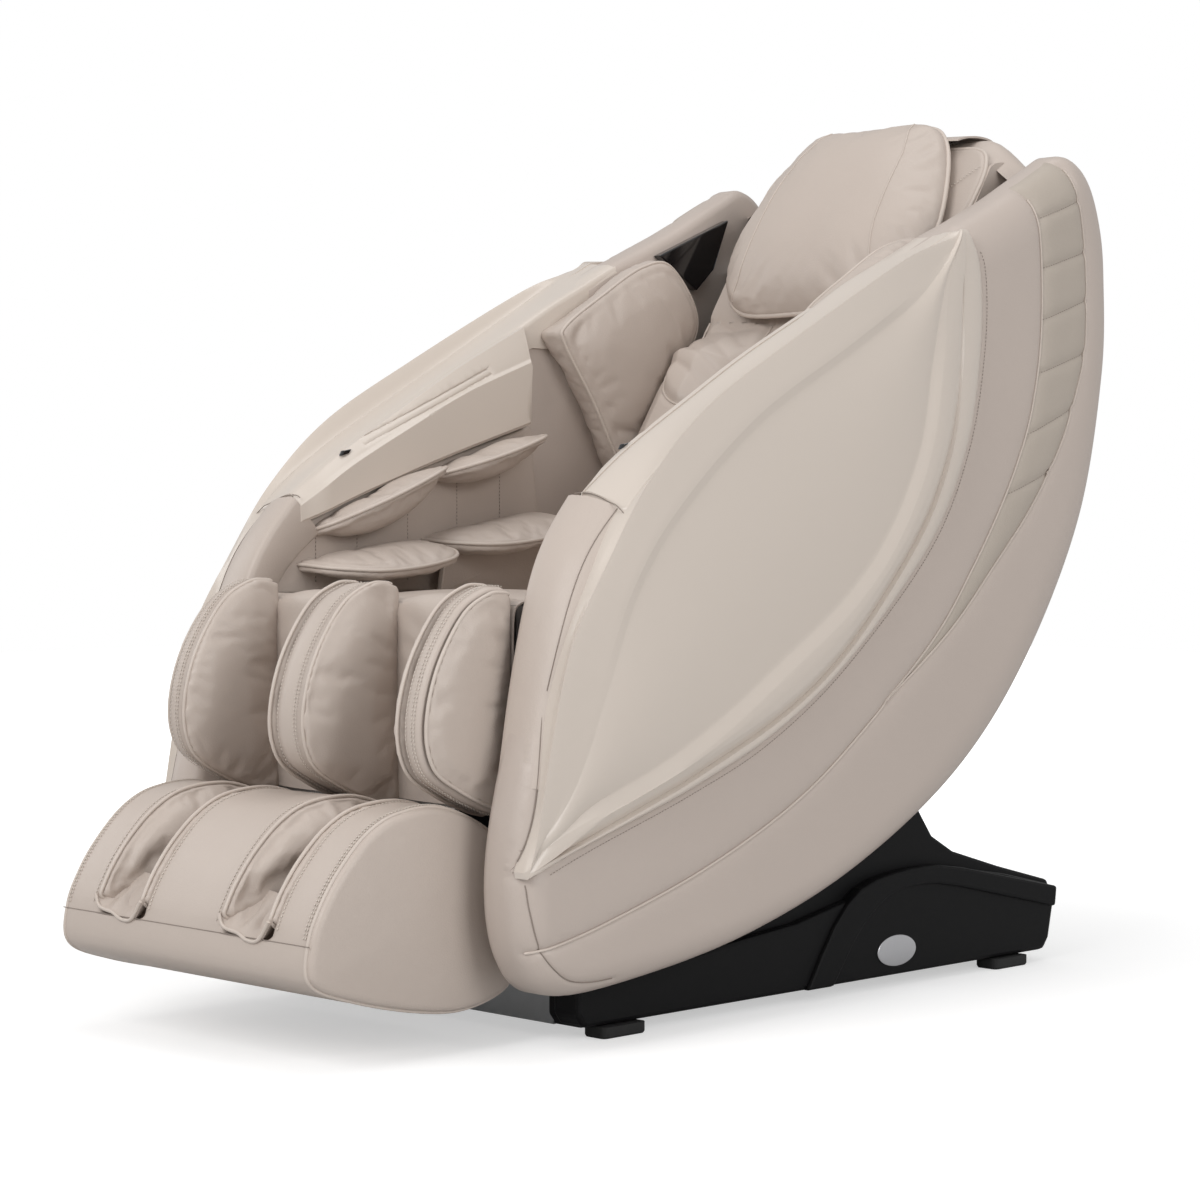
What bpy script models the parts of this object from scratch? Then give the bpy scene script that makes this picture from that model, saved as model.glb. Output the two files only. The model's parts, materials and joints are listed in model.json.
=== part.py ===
"""Massage chair with a one-piece tilting shell, a lifting leg unit and a massage carriage behind the back pad.

Metres, +Z up, the sitter faces -Y and the sitter's left hand is at +X. The design frame below starts at the
armrest seam; an empty then moves the whole chair so that its origin lies under the middle of its bounding box.
"""

import math

import bmesh
import bpy
from mathutils import Matrix, Vector

# ---------------------------------------------------------------------------------------------------------
# Driving dimensions
# ---------------------------------------------------------------------------------------------------------
ORIGIN_Y = 0.3135          # from the armrest seam back to the middle of the chair's length
GAP = 0.0003               # between faces that touch
RUN = 0.0010               # side play of a moving piece between its cheeks

# side panels
PANEL_IN = 0.2900          # |x| of the inner face
PANEL_OUT = 0.3720         # |x| of the outer face
PANEL_ROUND = 0.0400       # how far the outer edge rolls in
SKIN_X = 0.3480            # |x| where the painted skin starts
LEAF_BULGE = 0.0280        # how far the painted skin swells out of the panel
PANEL_LINE = ((-0.176, 0.200), (-0.158, 0.120), (-0.108, 0.076), (0.020, 0.078), (0.240, 0.113),
              (0.467, 0.186), (0.680, 0.300), (0.838, 0.450), (0.966, 0.653), (1.022, 0.865),
              (1.026, 1.010), (1.014, 1.092), (0.982, 1.158), (0.932, 1.185), (0.880, 1.162), (0.777, 1.106),
              (0.589, 1.018), (0.329, 0.872), (0.120, 0.755), (0.020, 0.680), (-0.062, 0.590), (-0.126, 0.430),
              (-0.165, 0.300))
LEAF_TOP = ((-0.172, 0.234), (-0.151, 0.300), (-0.119, 0.437), (-0.064, 0.572), (0.006, 0.672),
            (0.122, 0.762), (0.350, 0.891), (0.640, 1.056))
LEAF_LOW = ((-0.170, 0.226), (-0.068, 0.262), (0.110, 0.318), (0.259, 0.376), (0.412, 0.470), (0.585, 0.622),
            (0.668, 0.760), (0.701, 0.900), (0.699, 1.010), (0.668, 1.060))

# armrest
ARM_FRONT = 0.0000
ARM_REAR = 0.4370
ARM_FACE = 0.2600          # |x| of the cover's lower face
ARM_LOW = ((0.000, 0.648), (0.082, 0.680), (0.151, 0.705), (0.269, 0.745), (0.437, 0.797))
ARM_STEP = ((0.000, 0.676), (0.082, 0.730), (0.202, 0.792), (0.305, 0.842), (0.437, 0.892))
ARM_CREST = ((0.000, 0.690), (0.082, 0.748), (0.202, 0.818), (0.305, 0.876), (0.437, 0.942))

# base
BASE_IN = 0.2360           # |x| of the side covers' inner face
BASE_TOWER = 0.2840        # |x| of the pivot towers' outer face, which passes inside the panels
BASE_SKIRT = 0.2970        # |x| of the lower skirt, under the panels
BASE_RIDGE = 0.3030        # |x| of the raised band
BASE_FRONT = -0.0080
BASE_REAR = 0.9850
BASE_LOW = 0.0150          # height of the feet
BASE_SIDE = ((-0.008, 0.030), (0.004, BASE_LOW), (0.955, BASE_LOW), (0.968, 0.032), (0.985, 0.100), (0.978, 0.118),
             (0.860, 0.148), (0.755, 0.178), (0.705, 0.205), (0.672, 0.248), (0.600, 0.300), (0.500, 0.352),
             (0.420, 0.362), (0.330, 0.340), (0.250, 0.245), (0.120, 0.165), (-0.008, 0.110))
SKIRT_SIDE = ((-0.014, 0.034), (-0.002, 0.017), (0.953, 0.017), (0.966, 0.034), (0.981, 0.100), (0.974, 0.112),
              (0.860, 0.138), (0.730, 0.160), (0.600, 0.150), (0.400, 0.110), (0.120, 0.084), (-0.014, 0.072))
RIDGE_REAR = ((0.471, 0.017), (0.520, 0.080), (0.566, 0.118), (0.612, 0.136), (0.665, 0.140), (0.745, 0.130),
              (0.974, 0.080))
RIDGE_FRONT = ((0.416, 0.017), (0.472, 0.100), (0.528, 0.146), (0.596, 0.161), (0.672, 0.165), (0.752, 0.157),
               (0.978, 0.110))
TRAY_WALL = 0.0080
TRAY_HIGH = 0.0900
FOOT_LONG = 0.0780
FOOT_WIDE = 0.0400
FOOT_OUT = 0.3020          # |x| of the feet's outer side
FOOT_YS = (0.0660, 0.8700)

# recline and leg pivots
TILT = (0.4200, 0.3000)
TILT_PIN_R = 0.0140
BRACKET_OUT = 0.2300
BRACKET_THICK = 0.0080
KNEE = (-0.0300, 0.5300)
KNEE_PIN_R = 0.0090

# back
BACK_FOOT = (0.5000, 0.6000)     # foot of the back pad's middle plane
BACK_LEAN = math.radians(32.75)  # from the vertical
BACK_LONG = 0.7350
BACK_HALF = 0.2220
BACK_CLEAR = 0.0060              # between the back pad's side and the shoulder pads
SHOULDER_ROLL = 0.2900           # the shoulder pads' rolled edge, as a share of their thickness
BACK_REAR = -0.0860              # the back pad's flat rear, from its middle plane
BACK_PROFILE = ((0.0, -0.020), (0.225, -0.020), (0.450, -0.016), (0.530, -0.002), (0.676, 0.018), (0.856, 0.019),
                (0.964, 0.006), (1.0, -0.020))   # share of the half width, and height of the pad's front
BACK_TOP_OUT = -0.0360           # the pad's front behind the pillow
WING_TOP = (0.360, 0.430)        # the wings fade out between these heights along the back
RAIL_X = 0.1300
RAIL_R = 0.0110
RAIL_BEHIND = 0.1750             # rails' distance behind the middle plane
YOKE_LOW = 0.0160
YOKE_HIGH = 0.6000
CARRIAGE_AT = 0.2800             # carriage's place along the back at rest
CARRIAGE_LONG = 0.1500
ROLLER_R = 0.0240
ROLLER_WIDE = 0.0260
ARM_REACH = 0.0700               # roller axles from the arm's pivot
HOOD_HALF = 0.2500

# leg unit
CALF_HALF = 0.2650
CALF_WALL = 0.0620               # thickness of an outer wall
CALF_MID = 0.0900                # thickness of the middle wall
CALF_LINE = ((-0.100, 0.574), (-0.132, 0.572), (-0.178, 0.545), (-0.222, 0.478), (-0.240, 0.405),
             (-0.226, 0.350), (-0.180, 0.318), (-0.130, 0.296), (-0.100, 0.288))
CALF_REAR = -0.0850              # back of the walls, against the frame plate
CALF_PLATE = 0.0120
CALF_TOP = 0.5500
CALF_LOW = 0.2900
SLIDE_X = 0.1200
SLIDE_R = 0.0080
SLIDE_TOP = 0.4700
SLIDE_GUIDE = (0.3000, 0.3450)   # heights of the guide blocks
FOOT_HALF = 0.2620
FOOT_BACK = -0.0700               # rear wall of the foot unit
FOOT_LINE = ((FOOT_BACK, 0.110), (-0.090, 0.072), (-0.160, 0.053), (-0.242, 0.060), (-0.345, 0.085),
             (-0.405, 0.112), (-0.406, 0.162), (-0.385, 0.208), (-0.355, 0.248), (-0.316, 0.284),
             (-0.270, 0.304), (-0.200, 0.308), (-0.125, 0.278), (FOOT_BACK, 0.230))
WELL_X = 0.1280                  # |x| of the middle of each foot well
WELL_WIDE = 0.1000
WELL_LINE = ((-0.460, 0.168), (-0.370, 0.150), (-0.300, 0.112), (-0.200, 0.104), (-0.135, 0.140),
             (-0.110, 0.240), (-0.100, 0.420), (-0.460, 0.420))

# head pillow
PILLOW_FOOT = 0.4400             # along the back
PILLOW_HINGE = 0.7800
PILLOW_BACK = BACK_TOP_OUT + 0.0010

# finishes: colour, roughness, metallic
LEATHER = ("taupe_leather", (0.50, 0.43, 0.375, 1.0), 0.48, 0.0)
PAINT = ("taupe_paint", (0.60, 0.53, 0.47, 1.0), 0.24, 0.0)
BLACK = ("black_moulding", (0.020, 0.020, 0.021, 1.0), 0.42, 0.0)
RUBBER = ("black_rubber", (0.025, 0.025, 0.025, 1.0), 0.80, 0.0)
STEEL = ("grey_steel", (0.33, 0.34, 0.35, 1.0), 0.40, 1.0)
CHROME = ("bright_steel", (0.70, 0.71, 0.72, 1.0), 0.18, 1.0)
GREY = ("grey_housing", (0.17, 0.17, 0.18, 1.0), 0.50, 0.0)
ROLLER = ("roller_rubber", (0.10, 0.10, 0.11, 1.0), 0.65, 0.0)

# derived
BACK_UP = Vector((0.0, math.sin(BACK_LEAN), math.cos(BACK_LEAN)))
BACK_OUT = Vector((0.0, -math.cos(BACK_LEAN), math.sin(BACK_LEAN)))
SIDES = (("left", 1), ("right", -1))


# ---------------------------------------------------------------------------------------------------------
# Scene helpers
# ---------------------------------------------------------------------------------------------------------
def clear_scene():
    for obj in list(bpy.data.objects):
        bpy.data.objects.remove(obj, do_unlink=True)


def new_collection(name):
    coll = bpy.data.collections.new(name)
    bpy.context.scene.collection.children.link(coll)
    return coll


def material(spec):
    name, colour, roughness, metallic = spec
    mat = bpy.data.materials.get(name)
    if mat is None:
        mat = bpy.data.materials.new(name)
        mat.use_nodes = True
        shader = mat.node_tree.nodes["Principled BSDF"]
        shader.inputs["Base Color"].default_value = colour
        shader.inputs["Roughness"].default_value = roughness
        shader.inputs["Metallic"].default_value = metallic
    return mat


def new_body(name, parent, at):
    """An empty at a body's pivot, given in the design frame, under the body that carries it."""
    empty = bpy.data.objects.new("pivot_" + name, None)
    empty.empty_display_size = 0.08
    PARTS.objects.link(empty)
    empty.location = Vector(at) - (Vector(PIVOTS[parent]) if parent else Vector((0.0, ORIGIN_Y, 0.0)))
    if parent:
        empty.parent = BODIES[parent]
    PIVOTS[name] = tuple(at) if parent else (0.0, 0.0, 0.0)
    BODIES[name] = empty


def add(name, mesh, finish, body):
    """Puts a mesh that is drawn in the design frame under its body's empty."""
    obj = bpy.data.objects.new(name, mesh)
    if finish:
        mesh.materials.clear()
        mesh.materials.append(material(finish))
        PARTS.objects.link(obj)
        obj.parent = BODIES[body]
        obj.location = -Vector(PIVOTS[body])
    else:
        CUTTERS.objects.link(obj)
        obj.hide_render = True
        obj.display_type = "WIRE"
        obj.location = (0.0, -ORIGIN_Y, 0.0)
    return obj


def finish_mesh(name, bm, smooth_angle=35.0):
    bmesh.ops.recalc_face_normals(bm, faces=bm.faces)
    mesh = bpy.data.meshes.new(name)
    bm.to_mesh(mesh)
    bm.free()
    mesh.shade_smooth()
    mesh.set_sharp_from_angle(angle=math.radians(smooth_angle))
    return mesh


def mirrored(obj, name, body):
    """The other hand of a piece: its finished mesh turned over in the plane x = 0."""
    bpy.context.view_layer.update()
    evaluated = obj.evaluated_get(bpy.context.evaluated_depsgraph_get())
    mesh = bpy.data.meshes.new_from_object(evaluated)
    bm = bmesh.new()
    bm.from_mesh(mesh)
    bmesh.ops.transform(bm, matrix=Matrix.Diagonal((-1.0, 1.0, 1.0, 1.0)), verts=bm.verts)
    bmesh.ops.reverse_faces(bm, faces=bm.faces)
    bm.to_mesh(mesh)
    bm.free()
    mesh.name = name
    twin = bpy.data.objects.new(name, mesh)
    PARTS.objects.link(twin)
    twin.parent = BODIES[body]
    twin.location = -Vector(PIVOTS[body])
    return twin


def bevel(obj, width, segments=2, angle=35.0):
    mod = obj.modifiers.new("rounded_edges", "BEVEL")
    mod.width = width
    mod.segments = segments
    mod.limit_method = "ANGLE"
    mod.angle_limit = math.radians(angle)
    return obj


def boolean(obj, tool, operation):
    mod = obj.modifiers.new(operation.lower(), "BOOLEAN")
    mod.operation = operation
    mod.object = tool
    mod.solver = "EXACT"
    return obj


# ---------------------------------------------------------------------------------------------------------
# Shape helpers
# ---------------------------------------------------------------------------------------------------------
def spline(points, closed=False, steps=3):
    """A smooth curve through the points, as many steps to a span as asked for."""
    pts = [Vector(p) for p in points]
    count = len(pts)
    spans = count if closed else count - 1
    curve = []
    for i in range(spans):
        if closed:
            p0, p1, p2, p3 = (pts[(i + k) % count] for k in (-1, 0, 1, 2))
        else:
            p1, p2 = pts[i], pts[i + 1]
            p0 = pts[i - 1] if i > 0 else p1 * 2 - p2
            p3 = pts[i + 2] if i + 2 < count else p2 * 2 - p1
        for k in range(steps):
            t = k / steps
            curve.append(0.5 * (2 * p1 + (p2 - p0) * t + (2 * p0 - 5 * p1 + 4 * p2 - p3) * t ** 2
                                + (3 * p1 - p0 - 3 * p2 + p3) * t ** 3))
    if not closed:
        curve.append(pts[-1])
    return curve


def along(points, share):
    """The point at a share of a polyline's length."""
    lengths = [(points[i + 1] - points[i]).length for i in range(len(points) - 1)]
    target = share * sum(lengths)
    for i, length in enumerate(lengths):
        if target <= length or i == len(lengths) - 1:
            return points[i].lerp(points[i + 1], min(target / length, 1.0))
        target -= length
    return points[-1]


def rounded_box(wide, high, radius, at=(0.0, 0.0), steps=3):
    """A rectangle with round corners, anticlockwise."""
    outline = []
    for sx, sy, start in ((1, -1, -90), (1, 1, 0), (-1, 1, 90), (-1, -1, 180)):
        cx, cy = at[0] + sx * (wide / 2 - radius), at[1] + sy * (high / 2 - radius)
        for k in range(steps + 1):
            angle = math.radians(start + 90 * k / steps)
            outline.append(Vector((cx + radius * math.cos(angle), cy + radius * math.sin(angle))))
    return outline


def inset(outline, depth):
    """The outline drawn in by a depth, square to itself."""
    count = len(outline)
    drawn = []
    for i in range(count):
        before = (outline[i] - outline[i - 1]).normalized()
        after = (outline[(i + 1) % count] - outline[i]).normalized()
        tangent = (before + after).normalized()
        stretch = 1.0 / max(tangent.dot(after), 0.75)
        drawn.append(outline[i] + Vector((-tangent.y, tangent.x)) * depth * stretch)
    return drawn


def anticlockwise(outline):
    area = sum(outline[i - 1].x * outline[i].y - outline[i].x * outline[i - 1].y for i in range(len(outline)))
    return list(outline) if area > 0 else list(reversed(outline))


def loft(name, rings):
    """A closed skin over rings of equal count, with a flat cap on each end."""
    bm = bmesh.new()
    rows = [[bm.verts.new(p) for p in ring] for ring in rings]
    count = len(rows[0])
    for low, high in zip(rows, rows[1:]):
        for i in range(count):
            j = (i + 1) % count
            bm.faces.new((low[i], low[j], high[j], high[i]))
    bm.faces.new(list(reversed(rows[0])))
    bm.faces.new(rows[-1])
    return finish_mesh(name, bm)


def slab(name, outline, levels, place):
    """A plate or pad: the outline at each level (height, inset), put in space by place(u, v, height)."""
    outline = anticlockwise([Vector(p) for p in outline])
    rings = []
    for height, depth in levels:
        rings.append([place(p.x, p.y, height) for p in (inset(outline, depth) if depth else outline)])
    return loft(name, rings)


def quilt(name, top, bottom, flat=False):
    """A closed solid between two grids of points of the same size; a flat underside is one face."""
    bm = bmesh.new()
    rows, columns = len(top), len(top[0])
    upper = [[bm.verts.new(p) for p in row] for row in top]
    lower = [[None] * columns for _ in range(rows)]
    for i in range(rows):
        for j in range(columns):
            if not flat or i in (0, rows - 1) or j in (0, columns - 1):
                lower[i][j] = bm.verts.new(bottom[i][j])
    if flat:
        rim = lower[0] + [row[-1] for row in lower[1:]] + lower[-1][-2::-1] + [row[0] for row in lower[-2:0:-1]]
        bm.faces.new(rim)
    for i in range(rows - 1):
        for j in range(columns - 1):
            bm.faces.new((upper[i][j], upper[i][j + 1], upper[i + 1][j + 1], upper[i + 1][j]))
            if not flat:
                bm.faces.new((lower[i][j], lower[i + 1][j], lower[i + 1][j + 1], lower[i][j + 1]))
    for j in range(columns - 1):
        bm.faces.new((upper[0][j], lower[0][j], lower[0][j + 1], upper[0][j + 1]))
        bm.faces.new((upper[-1][j + 1], lower[-1][j + 1], lower[-1][j], upper[-1][j]))
    for i in range(rows - 1):
        bm.faces.new((upper[i + 1][0], lower[i + 1][0], lower[i][0], upper[i][0]))
        bm.faces.new((upper[i][-1], lower[i][-1], lower[i + 1][-1], upper[i + 1][-1]))
    return finish_mesh(name, bm)


def on_side(y, z, x):
    """Outline in the side view, height along X."""
    return Vector((x, y, z))


def on_floor(x, y, z):
    """Outline in plan, height along Z."""
    return Vector((x, y, z))


def on_back(x, up, out):
    """Outline on the back's middle plane, height square to it."""
    return Vector((x, BACK_FOOT[0], BACK_FOOT[1])) + BACK_UP * up + BACK_OUT * out


def soft_levels(low, high, roll):
    """Levels of a pad with rolled edges between two heights."""
    return ((low, roll), (low + 0.3 * roll, 0.3 * roll), (low + roll, 0.0), (high - roll, 0.0),
            (high - 0.3 * roll, 0.3 * roll), (high, roll))


def box(name, size, at, finish, body, edge=0.0, turn=0.0):
    """A block, turned about X, with optional rounded edges."""
    bm = bmesh.new()
    bmesh.ops.create_cube(bm, size=1.0)
    matrix = Matrix.Translation(at) @ Matrix.Rotation(turn, 4, "X") @ Matrix.Diagonal((*size, 1.0))
    bmesh.ops.transform(bm, matrix=matrix, verts=bm.verts)
    obj = add(name, finish_mesh(name, bm), finish, body)
    return bevel(obj, edge) if edge else obj


def rod(name, start, end, radius, finish, body, sides=16):
    """A round bar from one point to another."""
    start, end = Vector(start), Vector(end)
    bm = bmesh.new()
    bmesh.ops.create_cone(bm, cap_ends=True, segments=sides, radius1=radius, radius2=radius,
                          depth=(end - start).length)
    turn = (end - start).to_track_quat("Z", "Y").to_matrix().to_4x4()
    bmesh.ops.transform(bm, matrix=Matrix.Translation((start + end) / 2) @ turn, verts=bm.verts)
    return add(name, finish_mesh(name, bm), finish, body)


def turned(name, profile, at, finish, body, steps=16):
    """A piece turned about an axis along X through a point: the profile holds (radius, x) pairs."""
    rings = []
    for radius, x in profile:
        ring = []
        for k in range(steps):
            angle = 2 * math.pi * k / steps
            ring.append(Vector((at[0] + x, at[1] + radius * math.cos(angle), at[2] + radius * math.sin(angle))))
        rings.append(ring)
    return add(name, loft(name, rings), finish, body)


def plate(name, outline, low, high, finish, body, edge=0.0):
    """A flat outline in the side view, made thick along X from a filled curve."""
    curve = bpy.data.curves.new(name + "_outline", "CURVE")
    curve.dimensions = "2D"
    curve.fill_mode = "BOTH"
    curve.extrude = (high - low) / 2
    line = curve.splines.new("POLY")
    line.points.add(len(outline) - 1)
    for point, (y, z) in zip(line.points, outline):
        point.co = (y, z, 0.0, 1.0)
    line.use_cyclic_u = True
    guide = bpy.data.objects.new(name + "_guide", curve)
    CUTTERS.objects.link(guide)
    guide.rotation_euler = (math.pi / 2, 0.0, math.pi / 2)
    guide.location = ((low + high) / 2, 0.0, 0.0)
    bpy.context.view_layer.update()
    mesh = bpy.data.meshes.new_from_object(guide.evaluated_get(bpy.context.evaluated_depsgraph_get()))
    bm = bmesh.new()
    bm.from_mesh(mesh)
    bmesh.ops.transform(bm, matrix=guide.matrix_world, verts=bm.verts)
    bmesh.ops.remove_doubles(bm, verts=bm.verts, dist=0.00001)
    bmesh.ops.dissolve_limit(bm, angle_limit=math.radians(1.0), verts=bm.verts, edges=bm.edges)
    bpy.data.objects.remove(guide)
    obj = add(name, finish_mesh(name, bm), finish, body)
    return bevel(obj, edge) if edge else obj


# ---------------------------------------------------------------------------------------------------------
# Base
# ---------------------------------------------------------------------------------------------------------
def make_base():
    make_side_covers()
    make_tray()
    make_rear_cover()
    make_feet()
    make_supply()


def make_side_covers():
    """Each side: a pivot tower with its pin, a lower skirt and the raised band that runs up and along the rear."""
    cover = plate("base_cover_left", BASE_SIDE, BASE_IN, BASE_TOWER, BLACK, "base", edge=0.004)
    skirt = plate("skirt_tool", SKIRT_SIDE, BASE_IN + 0.014, BASE_SKIRT, None, None, edge=0.006)
    band = spline(RIDGE_FRONT, steps=2) + spline(RIDGE_REAR, steps=2)[::-1]
    ridge = plate("ridge_tool", band, BASE_TOWER - 0.002, BASE_RIDGE, None, None, edge=0.004)
    pin = rod("tilt_pin_tool", (BRACKET_OUT - BRACKET_THICK - 0.004, *TILT), (BASE_IN + 0.010, *TILT), TILT_PIN_R,
              None, None)
    for tool in (skirt, ridge, pin):
        boolean(cover, tool, "UNION")
    mirrored(cover, "base_cover_right", "base")


def make_tray():
    """The chassis tray between the side covers, open at the top."""
    front, rear = BASE_FRONT + 0.010, REAR_BLOCK - GAP
    half = BASE_IN - GAP
    middle = (front + rear) / 2
    tray = box("chassis_tray", (2 * half, rear - front, TRAY_HIGH - BASE_LOW),
               (0.0, middle, (TRAY_HIGH + BASE_LOW) / 2), STEEL, "base")
    hollow = box("tray_tool", (2 * (half - TRAY_WALL), rear - front - 2 * TRAY_WALL, TRAY_HIGH),
                 (0.0, middle, BASE_LOW + TRAY_WALL + TRAY_HIGH / 2), None, None)
    boolean(tray, hollow, "DIFFERENCE")
    add_clevis(tray, "tray_clevis", Vector((0.0, *DRIVE_FOOT)), BASE_LOW + 0.5 * TRAY_WALL)


def add_clevis(carrier, name, point, root):
    """Two ears with a pin across them at the point, grown from a carrier plate at the root height."""
    way = 1 if point.z > root else -1
    ear_in, ear_out = DRIVE_EYE_R + RUN, DRIVE_EYE_R + RUN + 0.006
    tip = point.z + way * 0.014
    for side_name, side in SIDES:
        ear = box("{}_{}_tool".format(name, side_name), (ear_out - ear_in, 0.034, abs(tip - root)),
                  (side * (ear_in + ear_out) / 2, point.y, (tip + root) / 2), None, None)
        boolean(carrier, ear, "UNION")
    reach = Vector((ear_in + 0.003, 0.0, 0.0))
    boolean(carrier, rod(name + "_pin_tool", point - reach, point + reach, DRIVE_PIN_R, None, None), "UNION")


def make_rear_cover():
    """The rear block between the side covers, with a pocket for each transport wheel."""
    outline = ((REAR_BLOCK, BASE_LOW), (0.955, BASE_LOW), (0.968, 0.032), (BASE_REAR, 0.100), (0.978, 0.118),
               (0.860, 0.148), (0.755, 0.178), (0.705, 0.205), (REAR_BLOCK, 0.240))
    half = BASE_IN - GAP
    block = plate("rear_cover", outline, -half, half, BLACK, "base")
    for tool_name, wide, high, x in (("inlet_tool", 0.050, 0.034, INLET_X), ("switch_tool", 0.026, 0.034, SWITCH[0])):
        boolean(block, box(tool_name, (wide, 0.050, high), (x, REAR_FACE + 0.013, REAR_MID), None, None),
                "DIFFERENCE")
    half = 0.0130 - GAP
    turned("rocker_switch", ((0.0130, -half), (0.0150, 0.0015 - half), (0.0150, half - 0.0015), (0.0130, half)),
           SWITCH, RUBBER, "rocker")
    for name, side in SIDES:
        x = side * WHEEL_X
        pocket = box("pocket_tool_" + name, (WHEEL_WIDE + 2 * WHEEL_PLAY, 0.110, 0.100),
                     (x, WHEEL[0] + 0.012, WHEEL[1] - 0.010), None, None)
        boolean(block, pocket, "DIFFERENCE")
        hub = WHEEL_WIDE / 2 + WHEEL_PLAY - GAP
        rim = WHEEL_WIDE / 2
        profile = ((0.0055, -hub), (0.0055, -rim), (WHEEL_R - 0.004, -rim), (WHEEL_R, -rim + 0.004),
                   (WHEEL_R, rim - 0.004), (WHEEL_R - 0.004, rim), (0.0055, rim), (0.0055, hub))
        turned("transport_wheel_" + name, profile, (x, *WHEEL), RUBBER, "wheel_" + name)


def make_feet():
    for name, side in SIDES:
        for place, y in zip(("front", "rear"), FOOT_YS):
            outline = rounded_box(FOOT_WIDE, FOOT_LONG, 0.008, (side * (FOOT_OUT - FOOT_WIDE / 2), y))
            levels = ((0.0, 0.002), (0.003, 0.0), (BASE_LOW - GAP, 0.0))
            add("foot_{}_{}".format(place, name), slab("foot", outline, levels, on_floor), RUBBER, "base")


def make_supply():
    """Control box and air pump on the tray."""
    floor = BASE_LOW + TRAY_WALL + GAP
    box("control_box", (0.200, 0.130, 0.052), (-0.080, 0.520, floor + 0.026), GREY, "base", 0.004)
    rod("air_pump", (0.060, 0.130, floor + 0.050), (0.200, 0.130, floor + 0.050), 0.050, GREY, "base", 24)


# ---------------------------------------------------------------------------------------------------------
# Recline drive
# ---------------------------------------------------------------------------------------------------------
def make_recline_drive():
    """A screw drive from the tray to the seat pan: a motor tube that swings, and the rod that it drives out."""
    foot, head = Vector((0.0, *DRIVE_FOOT)), Vector((0.0, *DRIVE_HEAD))
    line = (head - foot).normalized()
    tube = rod("recline_motor", foot - line * 0.022, foot + line * DRIVE_TUBE, DRIVE_EYE_R, GREY, "recline_drive")
    boolean(tube, rod("drive_bore_tool", foot + line * 0.060, foot + line * (DRIVE_TUBE + 0.05),
                      DRIVE_ROD_R + 0.0006, None, None), "DIFFERENCE")
    boolean(tube, rod("drive_eye_tool", foot - Vector((0.04, 0, 0)), foot + Vector((0.04, 0, 0)),
                      DRIVE_PIN_R + GAP, None, None), "DIFFERENCE")
    shaft = rod("recline_rod", foot + line * 0.075, head - line * 0.008, DRIVE_ROD_R, CHROME, "recline_shaft")
    eye = rod("rod_eye_tool", head - Vector((DRIVE_EYE_R, 0, 0)), head + Vector((DRIVE_EYE_R, 0, 0)), 0.019, None,
              None)
    boolean(shaft, eye, "UNION")
    boolean(shaft, rod("eye_bore_tool", head - Vector((0.04, 0, 0)), head + Vector((0.04, 0, 0)),
                       DRIVE_PIN_R + DRIVE_SLACK, None, None), "DIFFERENCE")


# ---------------------------------------------------------------------------------------------------------
# Tilting shell
# ---------------------------------------------------------------------------------------------------------
def make_side_panels():
    """Upholstered core of each side with its rolled rim, recessed for the painted skin."""
    outline = spline(PANEL_LINE, closed=True, steps=2)
    levels = ((PANEL_IN, 0.014), (PANEL_IN + 0.004, 0.005), (PANEL_IN + 0.012, 0.0),
              (PANEL_OUT - PANEL_ROUND, 0.0), (PANEL_OUT - 0.6 * PANEL_ROUND, 0.08 * PANEL_ROUND),
              (PANEL_OUT - 0.3 * PANEL_ROUND, 0.28 * PANEL_ROUND),
              (PANEL_OUT - 0.1 * PANEL_ROUND, 0.58 * PANEL_ROUND), (PANEL_OUT, PANEL_ROUND))
    panel = add("side_panel_left", slab("side_panel", outline, levels, on_side), LEATHER, "chair_body")
    low = spline(LEAF_LOW, steps=2)
    border = [Vector((-0.40, 0.200))] + moved_line(low, -2 * GAP) + [Vector((0.620, 1.400)), Vector((-0.40, 1.400))]
    recess = add("leaf_tool", slab("leaf_tool", border, ((SKIN_X, 0.0), (0.500, 0.0)), on_side), None, None)
    boolean(panel, recess, "DIFFERENCE")
    mirrored(panel, "side_panel_right", "chair_body")


def moved_line(points, depth):
    """An open line moved square to itself."""
    moved = []
    for i, point in enumerate(points):
        tangent = (points[min(i + 1, len(points) - 1)] - points[max(i - 1, 0)]).normalized()
        moved.append(point + Vector((-tangent.y, tangent.x)) * depth)
    return moved


def make_leaf_panels():
    """Painted skin: a lens with a framed inner leaf, between its top crease and its lower border."""
    top_line, low_line = spline(LEAF_TOP, steps=2), spline(LEAF_LOW, steps=2)
    stations = 18
    shares = ((0.0, 0.0), (0.030, 0.10), (0.120, 0.34), (0.250, 0.66), (0.400, 0.92), (0.550, 1.0),
              (0.700, 0.94), (0.820, 0.78), (0.870, 0.62), (0.930, 0.70), (0.975, 0.50), (1.0, 0.10))
    outer, inner = [], []
    for i in range(stations + 1):
        share = i / stations
        start, end = along(top_line, share), along(low_line, share)
        swell = LEAF_BULGE * min(1.0, 5.0 * min(share, 1.0 - share)) ** 0.7
        outer.append([on_side(*start.lerp(end, v), PANEL_OUT + swell * rise) for v, rise in shares])
        inner.append([on_side(*start.lerp(end, v), SKIN_X + GAP) for v, _ in shares])
    leaf = add("leaf_panel_left", quilt("leaf_panel", outer, inner, flat=True), PAINT, "chair_body")
    mirrored(leaf, "leaf_panel_right", "chair_body")


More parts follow.
